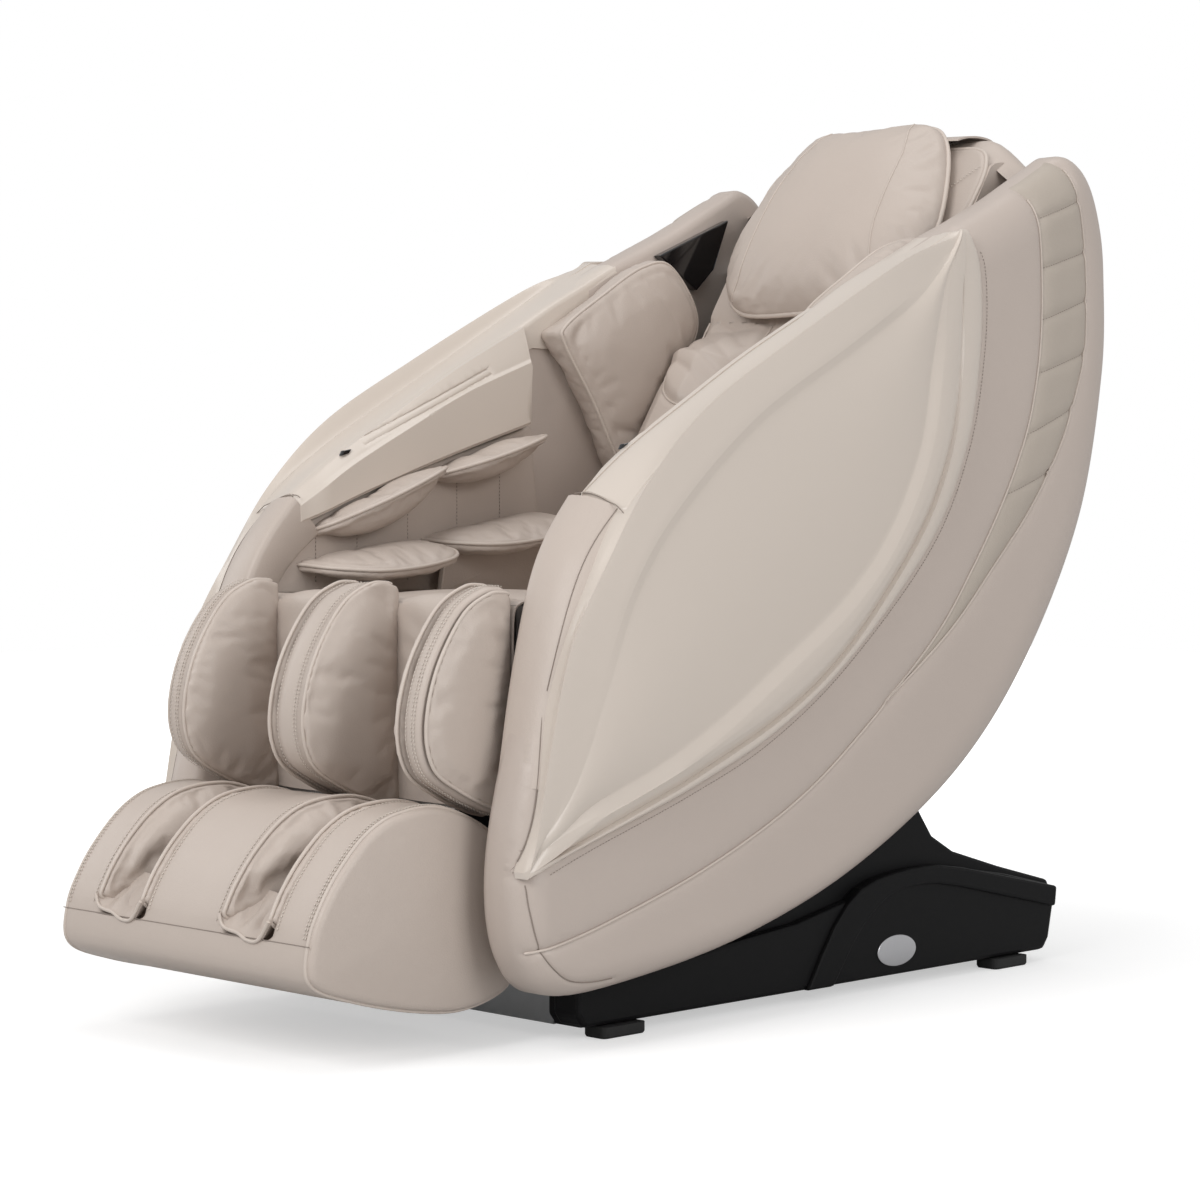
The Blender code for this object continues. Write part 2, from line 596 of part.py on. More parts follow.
def make_arm_covers():
    """Painted cover of the arm's inner side: a lower face, a step and a slope up to the crest."""
    lines = [spline([Vector(p) for p in line]) for line in (ARM_LOW, ARM_STEP, ARM_CREST)]
    rings = []
    stations = 12
    for i in range(stations + 1):
        low, step, crest = (along(line, i / stations) for line in lines)
        y = low.x
        back = PANEL_IN - GAP
        rings.append([Vector(p) for p in ((back, y, low.y), (ARM_FACE + 0.003, y, low.y),
                                          (ARM_FACE, y, low.y + 0.004), (ARM_FACE, y, step.y - 0.004),
                                          (ARM_FACE + 0.003, y, step.y), (ARM_FACE + 0.012, y, step.y + 0.004),
                                          (back - 0.004, y, crest.y), (back, y, crest.y))])
    cover = add("arm_cover_left", loft("arm_cover", rings), PAINT, "chair_body")
    mirrored(cover, "arm_cover_right", "chair_body")


def make_arm_pads():
    """Four thin air pads in each arm: two that press from above and two that lie below."""
    pads = (("upper_front", 0.030, 0.235, 0.6525, 0.390, 0.2050), ("upper_rear", 0.245, 0.430, 0.7270, 0.300, 0.2050),
            ("lower_front", 0.006, 0.225, 0.5950, 0.130, 0.1650), ("lower_rear", 0.235, 0.460, 0.6280, 0.160, 0.1650))
    for name, front, rear, low, slope, inner in pads:
        outline = rounded_box(PANEL_IN - GAP - inner, rear - front, 0.030,
                              ((PANEL_IN - GAP + inner) / 2, (front + rear) / 2), steps=3)

        def place(x, y, z, low=low, slope=slope, front=front):
            return Vector((x, y, low + z + slope * (y - front)))

        thick = 0.018 if name.startswith("upper") else 0.024
        levels = ((-thick, 0.016), (-0.8 * thick, 0.006), (-0.5 * thick, 0.0), (-0.2 * thick, 0.006), (0.0, 0.016))
        pad = add("arm_pad_{}_left".format(name), slab("arm_pad", outline, levels, place), LEATHER, "chair_body")
        mirrored(pad, "arm_pad_{}_right".format(name), "chair_body")


def make_shoulder_pads():
    outline = spline(((0.480, 0.945), (0.560, 0.994), (0.650, 1.038), (0.712, 1.040), (0.772, 0.965),
                      (0.732, 0.880), (0.636, 0.738), (0.598, 0.738), (0.540, 0.830), (0.480, 0.915)),
                     closed=True, steps=2)
    inner, outer = BACK_HALF + BACK_CLEAR, PANEL_IN - GAP
    levels = soft_levels(inner, outer, SHOULDER_ROLL * (outer - inner))
    pad = add("shoulder_pad_left", slab("shoulder_pad", outline, levels, on_side), LEATHER, "chair_body")
    mirrored(pad, "shoulder_pad_right", "chair_body")
    corners = ((0.722, 1.066), (0.806, 1.016), (0.846, 1.052), (0.880, 1.132))
    grille = plate("speaker_left", corners, PANEL_IN - 0.016, PANEL_IN - GAP, BLACK, "chair_body", edge=0.002)
    mirrored(grille, "speaker_right", "chair_body")


def make_seat():
    """Cushion on a steel pan, which hangs on a bracket at each tilt pin and carries the panels on its lugs."""
    line = [(0.070, GAP), (0.036, 0.024), (0.034, 0.064), (0.052, 0.092), (0.110, 0.102), (0.300, 0.084),
            (0.440, 0.064), (0.478, 0.044), (0.468, GAP)]
    outline = spline([(y, PAN_TOP + up) for y, up in line], steps=2)
    half = PANEL_IN - 0.004
    levels = ((-half, 0.020), (-half + 0.006, 0.006), (-half + 0.020, 0.0), (half - 0.020, 0.0),
              (half - 0.006, 0.006), (half, 0.020))

    def place(y, z, x):
        return Vector((x, y, max(z, PAN_TOP + GAP)))

    add("seat_cushion", slab("seat_cushion", outline, levels, place), LEATHER, "chair_body")
    pan = box("seat_pan", (2 * (PANEL_IN - GAP), 0.440, PAN_TOP - PAN_LOW), (0.0, 0.270, (PAN_TOP + PAN_LOW) / 2),
              STEEL, "chair_body")
    add_clevis(pan, "pan_clevis", Vector((0.0, *DRIVE_HEAD)), (PAN_TOP + PAN_LOW) / 2)
    hanger = ((0.350, PAN_LOW - GAP), (0.375, 0.275), (0.395, 0.264), (0.445, 0.264), (0.465, 0.275),
              (0.480, PAN_LOW - GAP))
    bracket = plate("tilt_bracket_left", hanger, BRACKET_OUT - BRACKET_THICK, BRACKET_OUT, STEEL, "chair_body")
    boolean(bracket, rod("bracket_tool", (BRACKET_OUT - 0.03, *TILT), (BRACKET_OUT + 0.02, *TILT),
                         TILT_PIN_R + GAP, None, None), "DIFFERENCE")
    mirrored(bracket, "tilt_bracket_right", "chair_body")


def make_back():
    """Back pad with its wings proud of the middle, the rails behind it, the cover and the hood."""
    half = [(share * BACK_HALF, out) for share, out in BACK_PROFILE]
    profile = [(-x, out) for x, out in reversed(half[1:])] + half
    ups = [0.0, 0.008, 0.030, 0.100, 0.180, 0.270, WING_TOP[0], sum(WING_TOP) / 2, WING_TOP[1], 0.560,
           BACK_LONG - 0.030, BACK_LONG - 0.008, BACK_LONG]
    top, bottom = [], []
    for up in ups:
        edge = min(up, BACK_LONG - up)
        drop = 0.022 * (1.0 - min(edge / 0.030, 1.0)) ** 2
        fade = min(max((up - WING_TOP[0]) / (WING_TOP[1] - WING_TOP[0]), 0.0), 1.0)
        row = []
        for x, full in profile:
            high = full + (min(BACK_TOP_OUT, full) - full) * fade
            row.append(on_back(x, up, high - drop))
        top.append(row)
        bottom.append([on_back(x, up, BACK_REAR) for x, _ in profile])
    add("back_pad", quilt("back_pad", top, bottom, flat=True), LEATHER, "chair_body")
    make_track_frame()
    make_back_cover()


def make_track_frame():
    """Two rail tubes welded into a yoke at each end, which spans from panel to panel."""
    frame = None
    for name, up in (("lower", YOKE_LOW), ("upper", YOKE_HIGH)):
        outline = rounded_box(2 * (PANEL_IN - GAP), 0.026, 0.004, (0.0, up), steps=1)
        levels = ((-RAIL_BEHIND - 0.014, 0.0), (BACK_REAR - GAP, 0.0))
        mesh = slab("rail_yoke", outline, levels, on_back)
        if frame is None:
            frame = add("track_frame", mesh, STEEL, "chair_body")
            base = frame
        else:
            second = add("yoke_tool", mesh, None, None)
    for name, side in SIDES:
        x = side * RAIL_X
        boolean(base, rod("rail_tool_" + name, on_back(x, YOKE_LOW, -RAIL_BEHIND), on_back(x, YOKE_HIGH, -RAIL_BEHIND),
                          RAIL_R, None, None), "UNION")
    boolean(base, second, "UNION")


def make_back_cover():
    """A bowed shell between the panels, and the upholstered hood that closes the top."""
    rear = spline(((0.800, 0.440), (0.875, 0.545), (0.945, 0.680), (0.992, 0.810), (1.014, 0.930),
                   (1.014, 1.010), (1.004, 1.070)), steps=2)
    half = PANEL_IN - GAP
    columns = 6
    outer, inner = [], []
    for i, point in enumerate(rear):
        normal = (rear[min(i + 1, len(rear) - 1)] - rear[max(i - 1, 0)]).normalized()
        out = Vector((normal.y, -normal.x))
        outer.append([])
        inner.append([])
        for k in range(columns + 1):
            x = half * (2 * k / columns - 1)
            bow = 0.022 * (1 - (x / half) ** 2)
            outer[-1].append(on_side(*(point + out * bow), x))
            inner[-1].append(on_side(*(point + out * (bow - 0.010)), x))
    add("back_cover", quilt("back_cover", outer, inner), BLACK, "chair_body")
    start, end = on_back(0.0, BACK_LONG + GAP, BACK_TOP_OUT), on_back(0.0, BACK_LONG + GAP, BACK_REAR - 0.002)
    hood = spline(((start.y, start.z), (0.946, 1.213), (0.970, 1.226), (0.998, 1.212), (1.012, 1.170),
                   (1.012, 1.120), (1.002, 1.080)), steps=2)
    hood += [Vector((0.990, 1.080)), Vector((0.992, 1.130)), Vector((end.y, end.z))]
    half = HOOD_HALF
    levels = ((-half, 0.010), (-half + 0.006, 0.003), (-half + 0.018, 0.0), (half - 0.018, 0.0),
              (half - 0.006, 0.003), (half, 0.010))
    add("back_hood", slab("back_hood", hood, levels, on_side), LEATHER, "chair_body")


def make_leg_drive():
    """Leg lift drive under the seat pan, at its retracted length."""
    radius = 0.022
    start, end = (Vector((0.100, y, PAN_LOW - radius - GAP)) for y in (0.380, 0.060))
    drive = rod("leg_drive", start, end, radius, GREY, "chair_body")
    boolean(drive, rod("leg_rod_tool", end + Vector((0, 0.02, 0)), end - Vector((0, 0.045, 0)), 0.009, None, None),
            "UNION")
    boolean(drive, box("leg_motor_tool", (0.050, 0.070, 0.070), (0.100, 0.340, PAN_LOW - GAP - 0.047), None, None),
            "UNION")


# ---------------------------------------------------------------------------------------------------------
# Massage carriage
# ---------------------------------------------------------------------------------------------------------
def make_carriage():
    """Plate with four sleeves round the rails, a gearbox, two rocking arms and four rollers."""
    low, high = CARRIAGE_AT - CARRIAGE_LONG / 2, CARRIAGE_AT + CARRIAGE_LONG / 2
    half = RAIL_X + RAIL_R + 0.012
    outline = rounded_box(2 * half, CARRIAGE_LONG, 0.010, (0.0, CARRIAGE_AT), steps=2)
    levels = ((-RAIL_BEHIND - 0.019, 0.0), (-RAIL_BEHIND + 0.017, 0.0))
    frame = add("carriage_frame", slab("carriage_frame", outline, levels, on_back), STEEL, "carriage")
    window = rounded_box(2 * (RAIL_X - RAIL_R - 0.014), CARRIAGE_LONG - 0.040, 0.006, (0.0, CARRIAGE_AT), steps=2)
    boolean(frame, add("window_tool", slab("window_tool", window, ((-0.30, 0.0), (0.0, 0.0)), on_back), None, None),
            "DIFFERENCE")
    for name, side in SIDES:
        x = side * RAIL_X
        boolean(frame, rod("sleeve_tool_" + name, on_back(x, low - 0.05, -RAIL_BEHIND),
                           on_back(x, high + 0.05, -RAIL_BEHIND), RAIL_R + 0.0006, None, None), "DIFFERENCE")
    gear_half = RAIL_X - RAIL_R - 0.014
    gear = rounded_box(2 * (gear_half - GAP), CARRIAGE_LONG - 0.040 - 2 * GAP, 0.006, (0.0, CARRIAGE_AT), steps=2)
    levels = ((-RAIL_BEHIND - 0.050, 0.010), (-RAIL_BEHIND - 0.040, 0.0), (-RAIL_BEHIND + 0.006, 0.0),
              (-RAIL_BEHIND + 0.012, 0.006))
    gearbox = add("massage_gearbox", slab("massage_gearbox", gear, levels, on_back), GREY, "carriage")
    ear_out = ROLLER_ARM_X - ARM_HUB - GAP
    for name, side in SIDES:
        ear = [(CARRIAGE_AT + up, out) for up, out in ((-0.030, -RAIL_BEHIND), (-0.012, -ARM_BEHIND),
                                                      (-0.007, -ARM_BEHIND + 0.012), (0.007, -ARM_BEHIND + 0.012),
                                                      (0.012, -ARM_BEHIND), (0.030, -RAIL_BEHIND))]
        levels = tuple((x, 0.0) for x in sorted((side * ear_out, side * (ear_out - 0.006))))
        tool = slab("ear_tool", ear, levels, lambda up, out, x: on_back(x, up, out))
        boolean(gearbox, add("ear_tool_" + name, tool, None, None), "UNION")
        make_roller_arm(name, side)
    reach = ROLLER_ARM_X + ARM_HUB + 0.002
    boolean(gearbox, rod("rock_shaft_tool", on_back(-reach, CARRIAGE_AT, -ARM_BEHIND),
                         on_back(reach, CARRIAGE_AT, -ARM_BEHIND), ROCK_SHAFT_R, None, None), "UNION")


def make_roller_arm(name, side):
    """A rocking arm that carries an upper and a lower roller on its outer side."""
    x = side * ROLLER_ARM_X
    half = 0.005
    outline = [(CARRIAGE_AT - ARM_REACH - 0.010, 0.010), (CARRIAGE_AT - ARM_REACH - 0.010, -0.010),
               (CARRIAGE_AT - 0.022, -0.014), (CARRIAGE_AT + 0.022, -0.014),
               (CARRIAGE_AT + ARM_REACH + 0.010, -0.010), (CARRIAGE_AT + ARM_REACH + 0.010, 0.010),
               (CARRIAGE_AT + 0.022, 0.014), (CARRIAGE_AT - 0.022, 0.014)]

    def place(up, out, across):
        return on_back(across, up, out - ARM_BEHIND)

    arm = add("roller_arm_" + name, slab("roller_arm", outline, ((x - half, 0.0), (x + half, 0.0)), place), STEEL,
              "roller_arm_" + name)
    hub, pivot = Vector((ARM_HUB, 0, 0)), on_back(x, CARRIAGE_AT, -ARM_BEHIND)
    boolean(arm, rod("arm_hub_tool_" + name, pivot - hub, pivot + hub, 0.013, None, None), "UNION")
    boolean(arm, rod("arm_bore_tool_" + name, pivot - 2 * hub, pivot + 2 * hub, ROCK_SHAFT_R + GAP, None, None),
            "DIFFERENCE")
    for place_name, way in (("upper", 1), ("lower", -1)):
        roller_name = "roller_{}_{}".format(place_name, name)
        centre = on_back(x, CARRIAGE_AT + way * ARM_REACH, -ARM_BEHIND)
        inner = half + GAP
        axle = rod(roller_name + "_axle_tool", centre, centre + Vector((side * (inner + ROLLER_WIDE + 0.002), 0, 0)),
                   ROLLER_AXLE_R, None, None)
        boolean(arm, axle, "UNION")
        profile = ((0.008, inner), (ROLLER_R - 0.006, inner), (ROLLER_R, inner + 0.007),
                   (ROLLER_R, inner + ROLLER_WIDE - 0.007), (ROLLER_R - 0.006, inner + ROLLER_WIDE),
                   (0.008, inner + ROLLER_WIDE))
        if side < 0:
            profile = tuple((radius, -shift) for radius, shift in reversed(profile))
        roller = turned(roller_name, profile, centre, ROLLER, roller_name)
        boolean(roller, rod(roller_name + "_bore_tool", centre - 5 * hub, centre + 5 * hub, ROLLER_AXLE_R + GAP, None,
                            None), "DIFFERENCE")


# ---------------------------------------------------------------------------------------------------------
# Head pillow
# ---------------------------------------------------------------------------------------------------------
def make_pillow():
    middle = (PILLOW_FOOT + PILLOW_HINGE) / 2
    half = ((0.0, PILLOW_FOOT), (0.125, PILLOW_FOOT + 0.006), (0.180, PILLOW_FOOT + 0.060), (0.194, middle - 0.030),
            (0.170, middle + 0.070), (0.136, PILLOW_HINGE - 0.030), (0.092, PILLOW_HINGE - 0.002),
            (0.0, PILLOW_HINGE))
    outline = spline(list(half) + [(-x, up) for x, up in half[-2:0:-1]], closed=True, steps=2)
    back = PILLOW_BACK
    levels = ((back, 0.024), (back + 0.008, 0.008), (back + 0.026, 0.0), (back + 0.042, 0.006),
              (back + 0.062, 0.030), (back + 0.076, 0.070))
    add("head_pillow", slab("head_pillow", outline, levels, on_back), LEATHER, "pillow")


# ---------------------------------------------------------------------------------------------------------
# Leg unit
# ---------------------------------------------------------------------------------------------------------
def make_leg_unit():
    """Frame plate with its knee hubs and guide blocks, and three padded walls."""
    half = CALF_HALF - 0.005
    front, rear = CALF_REAR + GAP, CALF_REAR + GAP + CALF_PLATE
    side = ((front, CALF_LOW), (rear, CALF_LOW), (rear, KNEE[1] - 0.045), (KNEE[0] + 0.010, KNEE[1] - 0.018),
            (KNEE[0] + 0.018, KNEE[1] - 0.008), (KNEE[0] + 0.018, KNEE[1] + 0.008), (KNEE[0] + 0.010, CALF_TOP),
            (front, CALF_TOP))
    frame = plate("calf_frame", side, -half, half, STEEL, "legrest")
    boolean(frame, rod("knee_bore_tool", (-half - 0.02, *KNEE), (half + 0.02, *KNEE), KNEE_PIN_R + GAP, None, None),
            "DIFFERENCE")
    low, high = SLIDE_GUIDE
    for name, way in SIDES:
        x = way * SLIDE_X
        block = box("guide_tool_" + name, (0.040, SLIDE_Y + 0.018 - rear + 0.004, high - low),
                    (x, (SLIDE_Y + 0.018 + rear - 0.004) / 2, (low + high) / 2), None, None)
        boolean(frame, block, "UNION")
        boolean(frame, rod("guide_bore_tool_" + name, (x, SLIDE_Y, low - 0.02), (x, SLIDE_Y, high + 0.02),
                           SLIDE_R + 0.0005, None, None), "DIFFERENCE")
    walls = (("calf_wall_left", CALF_HALF - CALF_WALL, CALF_HALF), ("calf_wall_centre", -CALF_MID / 2, CALF_MID / 2),
             ("calf_wall_right", -CALF_HALF, CALF_WALL - CALF_HALF))
    outline = [Vector((CALF_REAR, CALF_LINE[0][1] - 0.006))] + spline(CALF_LINE, steps=2)
    outline.append(Vector((CALF_REAR, CALF_LINE[-1][1] + 0.006)))
    for name, inner, outer in walls:
        add(name, slab(name, outline, calf_levels(inner, outer), on_wall), LEATHER, "legrest")
    rod("knee_shaft", (GAP - PANEL_IN, *KNEE), (PANEL_IN - GAP, *KNEE), KNEE_PIN_R, CHROME, "chair_body")


def calf_levels(inner, outer):
    return soft_levels(inner, outer, 0.014)


def on_wall(y, z, x):
    """As the side view, but the rolled edge never comes past the walls' flat back."""
    return Vector((x, min(y, CALF_REAR), z))


def make_foot_unit():
    outline = spline(FOOT_LINE, steps=2)
    levels = ((-FOOT_HALF, 0.030), (-FOOT_HALF + 0.006, 0.012), (-FOOT_HALF + 0.020, 0.002),
              (-FOOT_HALF + 0.040, 0.0), (FOOT_HALF - 0.040, 0.0), (FOOT_HALF - 0.020, 0.002),
              (FOOT_HALF - 0.006, 0.012), (FOOT_HALF, 0.030))

    def place(y, z, x):
        return Vector((x, min(y, FOOT_BACK), z))

    shell = add("foot_shell", slab("foot_shell", outline, levels, place), LEATHER, "footrest")
    for name, side in SIDES:
        x = side * WELL_X
        well = slab("well_tool", WELL_LINE, ((x - WELL_WIDE / 2, 0.0), (x + WELL_WIDE / 2, 0.0)), on_side)
        boolean(shell, add("well_tool_" + name, well, None, None), "DIFFERENCE")
        span = WELL_WIDE / 2 - GAP
        profile = ((0.004, -span), (0.004, 0.006 - span), (0.017, 0.008 - span), (0.019, 0.014 - span),
                   (0.019, span - 0.014), (0.017, span - 0.008), (0.004, span - 0.006), (0.004, span))
        turned("sole_roller_" + name, profile, (x, *SOLE_ROLLER), ROLLER, "sole_roller_" + name)


def make_guide_bar():
    """A U-shaped bar: its legs slide in the calf frame and its foot is held on the foot unit's rear wall."""
    bend, low, turns = 0.035, 0.170, 5
    right = [(SLIDE_X, SLIDE_TOP)]
    for k in range(turns + 1):
        angle = math.radians(90 * k / turns)
        right.append((SLIDE_X - bend + bend * math.cos(angle), low + bend - bend * math.sin(angle)))
    points = [(x, SLIDE_Y, z) for x, z in right] + [(-x, SLIDE_Y, z) for x, z in reversed(right)]
    curve = bpy.data.curves.new("guide_bar", "CURVE")
    curve.dimensions = "3D"
    curve.bevel_depth = SLIDE_R
    curve.bevel_resolution = 2
    curve.use_fill_caps = True
    line = curve.splines.new("POLY")
    line.points.add(len(points) - 1)
    for point, place in zip(line.points, points):
        point.co = (*place, 1.0)
    add("guide_bar", curve, CHROME, "footrest")


# ---------------------------------------------------------------------------------------------------------
# Sizes that join two sub-assemblies
# ---------------------------------------------------------------------------------------------------------
REAR_BLOCK = 0.6600        # front of the rear block between the side covers
WHEEL = (0.9480, 0.0340)
WHEEL_R = 0.0300
WHEEL_WIDE = 0.0240
WHEEL_PLAY = 0.0040
WHEEL_X = 0.1750
PAN_TOP = 0.4560
PAN_LOW = PAN_TOP - 0.0160
DRIVE_FOOT = (0.3000, 0.0850)
DRIVE_HEAD = (0.1200, 0.3950)
DRIVE_TUBE = 0.2300
DRIVE_ROD_R = 0.0100
DRIVE_PIN_R = 0.0060
DRIVE_SLACK = 0.0050
DRIVE_EYE_R = 0.0210
ARM_BEHIND = 0.1220
SLIDE_Y = FOOT_BACK + SLIDE_R + GAP
SOLE_ROLLER = (-0.2400, 0.1290)
INLET_X = -0.0600
REAR_FACE = 0.9760
REAR_MID = 0.0680
SWITCH = (0.0100, REAR_FACE + 0.0050, REAR_MID)
ROLLER_ARM_X = 0.0400
ARM_HUB = 0.0100           # half length of a roller arm's hub
ROCK_SHAFT_R = 0.0050
ROLLER_AXLE_R = 0.0050

PARTS = CUTTERS = None
BODIES, PIVOTS = {}, {}


def make_bodies():
    new_body("base", None, (0.0, 0.0, 0.0))
    new_body("rocker", "base", SWITCH)
    for name, side in SIDES:
        new_body("wheel_" + name, "base", (side * WHEEL_X, *WHEEL))
    new_body("recline_drive", "base", (0.0, *DRIVE_FOOT))
    new_body("recline_shaft", "recline_drive", (0.0, *DRIVE_HEAD))
    new_body("chair_body", "base", (0.0, *TILT))
    new_body("carriage", "chair_body", on_back(0.0, CARRIAGE_AT, -RAIL_BEHIND))
    for name, side in SIDES:
        x = side * ROLLER_ARM_X
        new_body("roller_arm_" + name, "carriage", on_back(x, CARRIAGE_AT, -ARM_BEHIND))
        for place, way in (("upper", 1), ("lower", -1)):
            new_body("roller_{}_{}".format(place, name), "roller_arm_" + name,
                     on_back(x, CARRIAGE_AT + way * ARM_REACH, -ARM_BEHIND))
    new_body("pillow", "chair_body", on_back(0.0, PILLOW_HINGE, PILLOW_BACK))
    new_body("legrest", "chair_body", (0.0, *KNEE))
    new_body("footrest", "legrest", (0.0, SLIDE_Y, 0.200))
    for name, side in SIDES:
        new_body("sole_roller_" + name, "footrest", (side * WELL_X, *SOLE_ROLLER))


def main():
    global PARTS, CUTTERS
    clear_scene()
    PARTS = new_collection("massage_chair")
    CUTTERS = new_collection("cutters")
    make_bodies()
    make_base()
    make_recline_drive()
    make_side_panels()
    make_leaf_panels()
    make_arm_covers()
    make_arm_pads()
    make_shoulder_pads()
    make_seat()
    make_back()
    make_leg_drive()
    make_carriage()
    make_pillow()
    make_leg_unit()
    make_foot_unit()
    make_guide_bar()


main()
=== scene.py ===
"""Looks of an upholstered massage chair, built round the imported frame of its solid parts."""

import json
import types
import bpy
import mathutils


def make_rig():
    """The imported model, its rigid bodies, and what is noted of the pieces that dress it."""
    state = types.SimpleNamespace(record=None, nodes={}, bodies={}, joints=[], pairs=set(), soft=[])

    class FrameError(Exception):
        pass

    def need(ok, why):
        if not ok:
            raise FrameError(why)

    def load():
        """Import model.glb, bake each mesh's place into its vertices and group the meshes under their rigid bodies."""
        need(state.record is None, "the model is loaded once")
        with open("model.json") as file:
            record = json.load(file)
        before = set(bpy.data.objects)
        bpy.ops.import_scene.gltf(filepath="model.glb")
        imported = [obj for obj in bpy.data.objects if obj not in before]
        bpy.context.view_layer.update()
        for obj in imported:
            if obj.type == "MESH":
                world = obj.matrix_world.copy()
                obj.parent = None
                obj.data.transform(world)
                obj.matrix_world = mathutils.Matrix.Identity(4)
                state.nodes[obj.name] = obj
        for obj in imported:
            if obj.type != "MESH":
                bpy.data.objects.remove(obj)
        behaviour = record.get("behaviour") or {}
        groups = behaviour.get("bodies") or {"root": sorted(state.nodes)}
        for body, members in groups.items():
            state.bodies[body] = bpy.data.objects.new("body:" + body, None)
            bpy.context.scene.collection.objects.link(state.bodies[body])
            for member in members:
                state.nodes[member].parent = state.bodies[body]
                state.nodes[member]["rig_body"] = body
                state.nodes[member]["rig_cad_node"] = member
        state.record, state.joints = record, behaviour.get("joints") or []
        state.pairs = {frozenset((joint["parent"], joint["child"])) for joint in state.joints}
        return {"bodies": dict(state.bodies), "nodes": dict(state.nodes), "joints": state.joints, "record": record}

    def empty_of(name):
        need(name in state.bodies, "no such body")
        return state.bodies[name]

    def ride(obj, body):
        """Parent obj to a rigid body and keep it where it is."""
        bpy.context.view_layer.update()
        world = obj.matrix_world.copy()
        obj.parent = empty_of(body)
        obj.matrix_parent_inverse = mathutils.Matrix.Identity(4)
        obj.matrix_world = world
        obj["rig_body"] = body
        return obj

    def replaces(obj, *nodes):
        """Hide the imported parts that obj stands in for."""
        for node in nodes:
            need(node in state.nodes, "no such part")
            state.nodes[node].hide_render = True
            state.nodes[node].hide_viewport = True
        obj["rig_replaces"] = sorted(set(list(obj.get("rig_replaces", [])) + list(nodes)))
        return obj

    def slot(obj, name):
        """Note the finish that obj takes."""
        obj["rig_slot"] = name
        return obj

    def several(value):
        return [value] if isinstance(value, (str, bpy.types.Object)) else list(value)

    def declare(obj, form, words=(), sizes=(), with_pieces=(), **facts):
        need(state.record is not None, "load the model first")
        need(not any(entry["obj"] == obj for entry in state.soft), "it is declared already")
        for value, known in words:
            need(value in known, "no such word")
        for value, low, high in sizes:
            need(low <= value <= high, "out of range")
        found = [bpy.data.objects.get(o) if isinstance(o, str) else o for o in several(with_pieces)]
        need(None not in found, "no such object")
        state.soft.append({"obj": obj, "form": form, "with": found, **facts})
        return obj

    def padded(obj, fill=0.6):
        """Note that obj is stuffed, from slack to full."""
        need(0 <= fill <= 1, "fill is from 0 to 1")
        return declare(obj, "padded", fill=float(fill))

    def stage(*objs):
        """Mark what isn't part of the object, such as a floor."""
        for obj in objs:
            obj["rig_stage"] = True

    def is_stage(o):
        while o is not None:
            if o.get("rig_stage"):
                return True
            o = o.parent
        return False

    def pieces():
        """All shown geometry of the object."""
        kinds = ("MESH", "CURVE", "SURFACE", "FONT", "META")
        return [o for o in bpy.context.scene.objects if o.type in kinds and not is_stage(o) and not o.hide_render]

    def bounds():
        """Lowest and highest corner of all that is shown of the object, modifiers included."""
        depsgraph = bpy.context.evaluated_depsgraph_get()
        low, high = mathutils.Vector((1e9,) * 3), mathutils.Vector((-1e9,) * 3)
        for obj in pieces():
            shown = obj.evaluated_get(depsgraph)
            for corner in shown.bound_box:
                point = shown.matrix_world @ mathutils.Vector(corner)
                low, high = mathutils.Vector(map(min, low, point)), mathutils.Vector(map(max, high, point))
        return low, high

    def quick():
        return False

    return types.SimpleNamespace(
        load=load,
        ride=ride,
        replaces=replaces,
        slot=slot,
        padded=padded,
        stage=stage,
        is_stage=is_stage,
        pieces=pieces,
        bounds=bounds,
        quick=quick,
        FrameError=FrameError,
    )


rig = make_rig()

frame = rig.load()

import json
import logging
import math
from dataclasses import dataclass, field
from enum import Enum
from typing import Callable, Iterable, Sequence

import bmesh
import bpy
import numpy as np
from mathutils import Vector, geometry
from mathutils.bvhtree import BVHTree

LOG = logging.getLogger("massage_chair")
SEAM_Y = 0.3135          # distance from the armrest seam to the middle of the chair's box
CAD_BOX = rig.bounds()

Pair = tuple[float, float]
Place = Callable[[float, float, float], Vector]
Noise = Callable[[float, float], bpy.types.NodeSocket]


# ---- Lines ----
def at(x: float, y: float, z: float) -> Vector:
    """A point given from the armrest seam, in the chair's own frame."""
    return Vector((x, y - SEAM_Y, z))


def smooth_line(points: Sequence[Sequence[float]], closed: bool = False, steps: int = 16) -> np.ndarray:
    """A smooth curve through points.

    Args:
        points: The points, two or three numbers each.
        closed: Whether the curve comes back to its start.
        steps: Steps to a span.

    Returns:
        The curve's points, one row each.
    """
    pts = np.asarray([tuple(p) for p in points], dtype=float)
    count = len(pts)
    curve = []
    for i in range(count if closed else count - 1):
        if closed:
            p0, p1, p2, p3 = (pts[(i + k) % count] for k in (-1, 0, 1, 2))
        else:
            p1, p2 = pts[i], pts[i + 1]
            p0 = pts[i - 1] if i else 2 * p1 - p2
            p3 = pts[i + 2] if i + 2 < count else 2 * p2 - p1
        for k in range(steps):
            t = k / steps
            curve.append(0.5 * (2 * p1 + (p2 - p0) * t + (2 * p0 - 5 * p1 + 4 * p2 - p3) * t ** 2
                                + (3 * p1 - p0 - 3 * p2 + p3) * t ** 3))
    if not closed:
        curve.append(pts[-1])
    return np.array(curve)


def evenly(line: np.ndarray, count: int, closed: bool = False) -> np.ndarray:
    """The line again, with a count of points at even distances along it."""
    run = np.vstack([line, line[:1]]) if closed else line
    steps = np.linalg.norm(np.diff(run, axis=0), axis=1)
    travel = np.concatenate([[0.0], np.cumsum(steps)])
    wanted = np.linspace(0.0, travel[-1], count + 1)[:-1] if closed else np.linspace(0.0, travel[-1], count)
    return np.stack([np.interp(wanted, travel, run[:, k]) for k in range(run.shape[1])], axis=1)


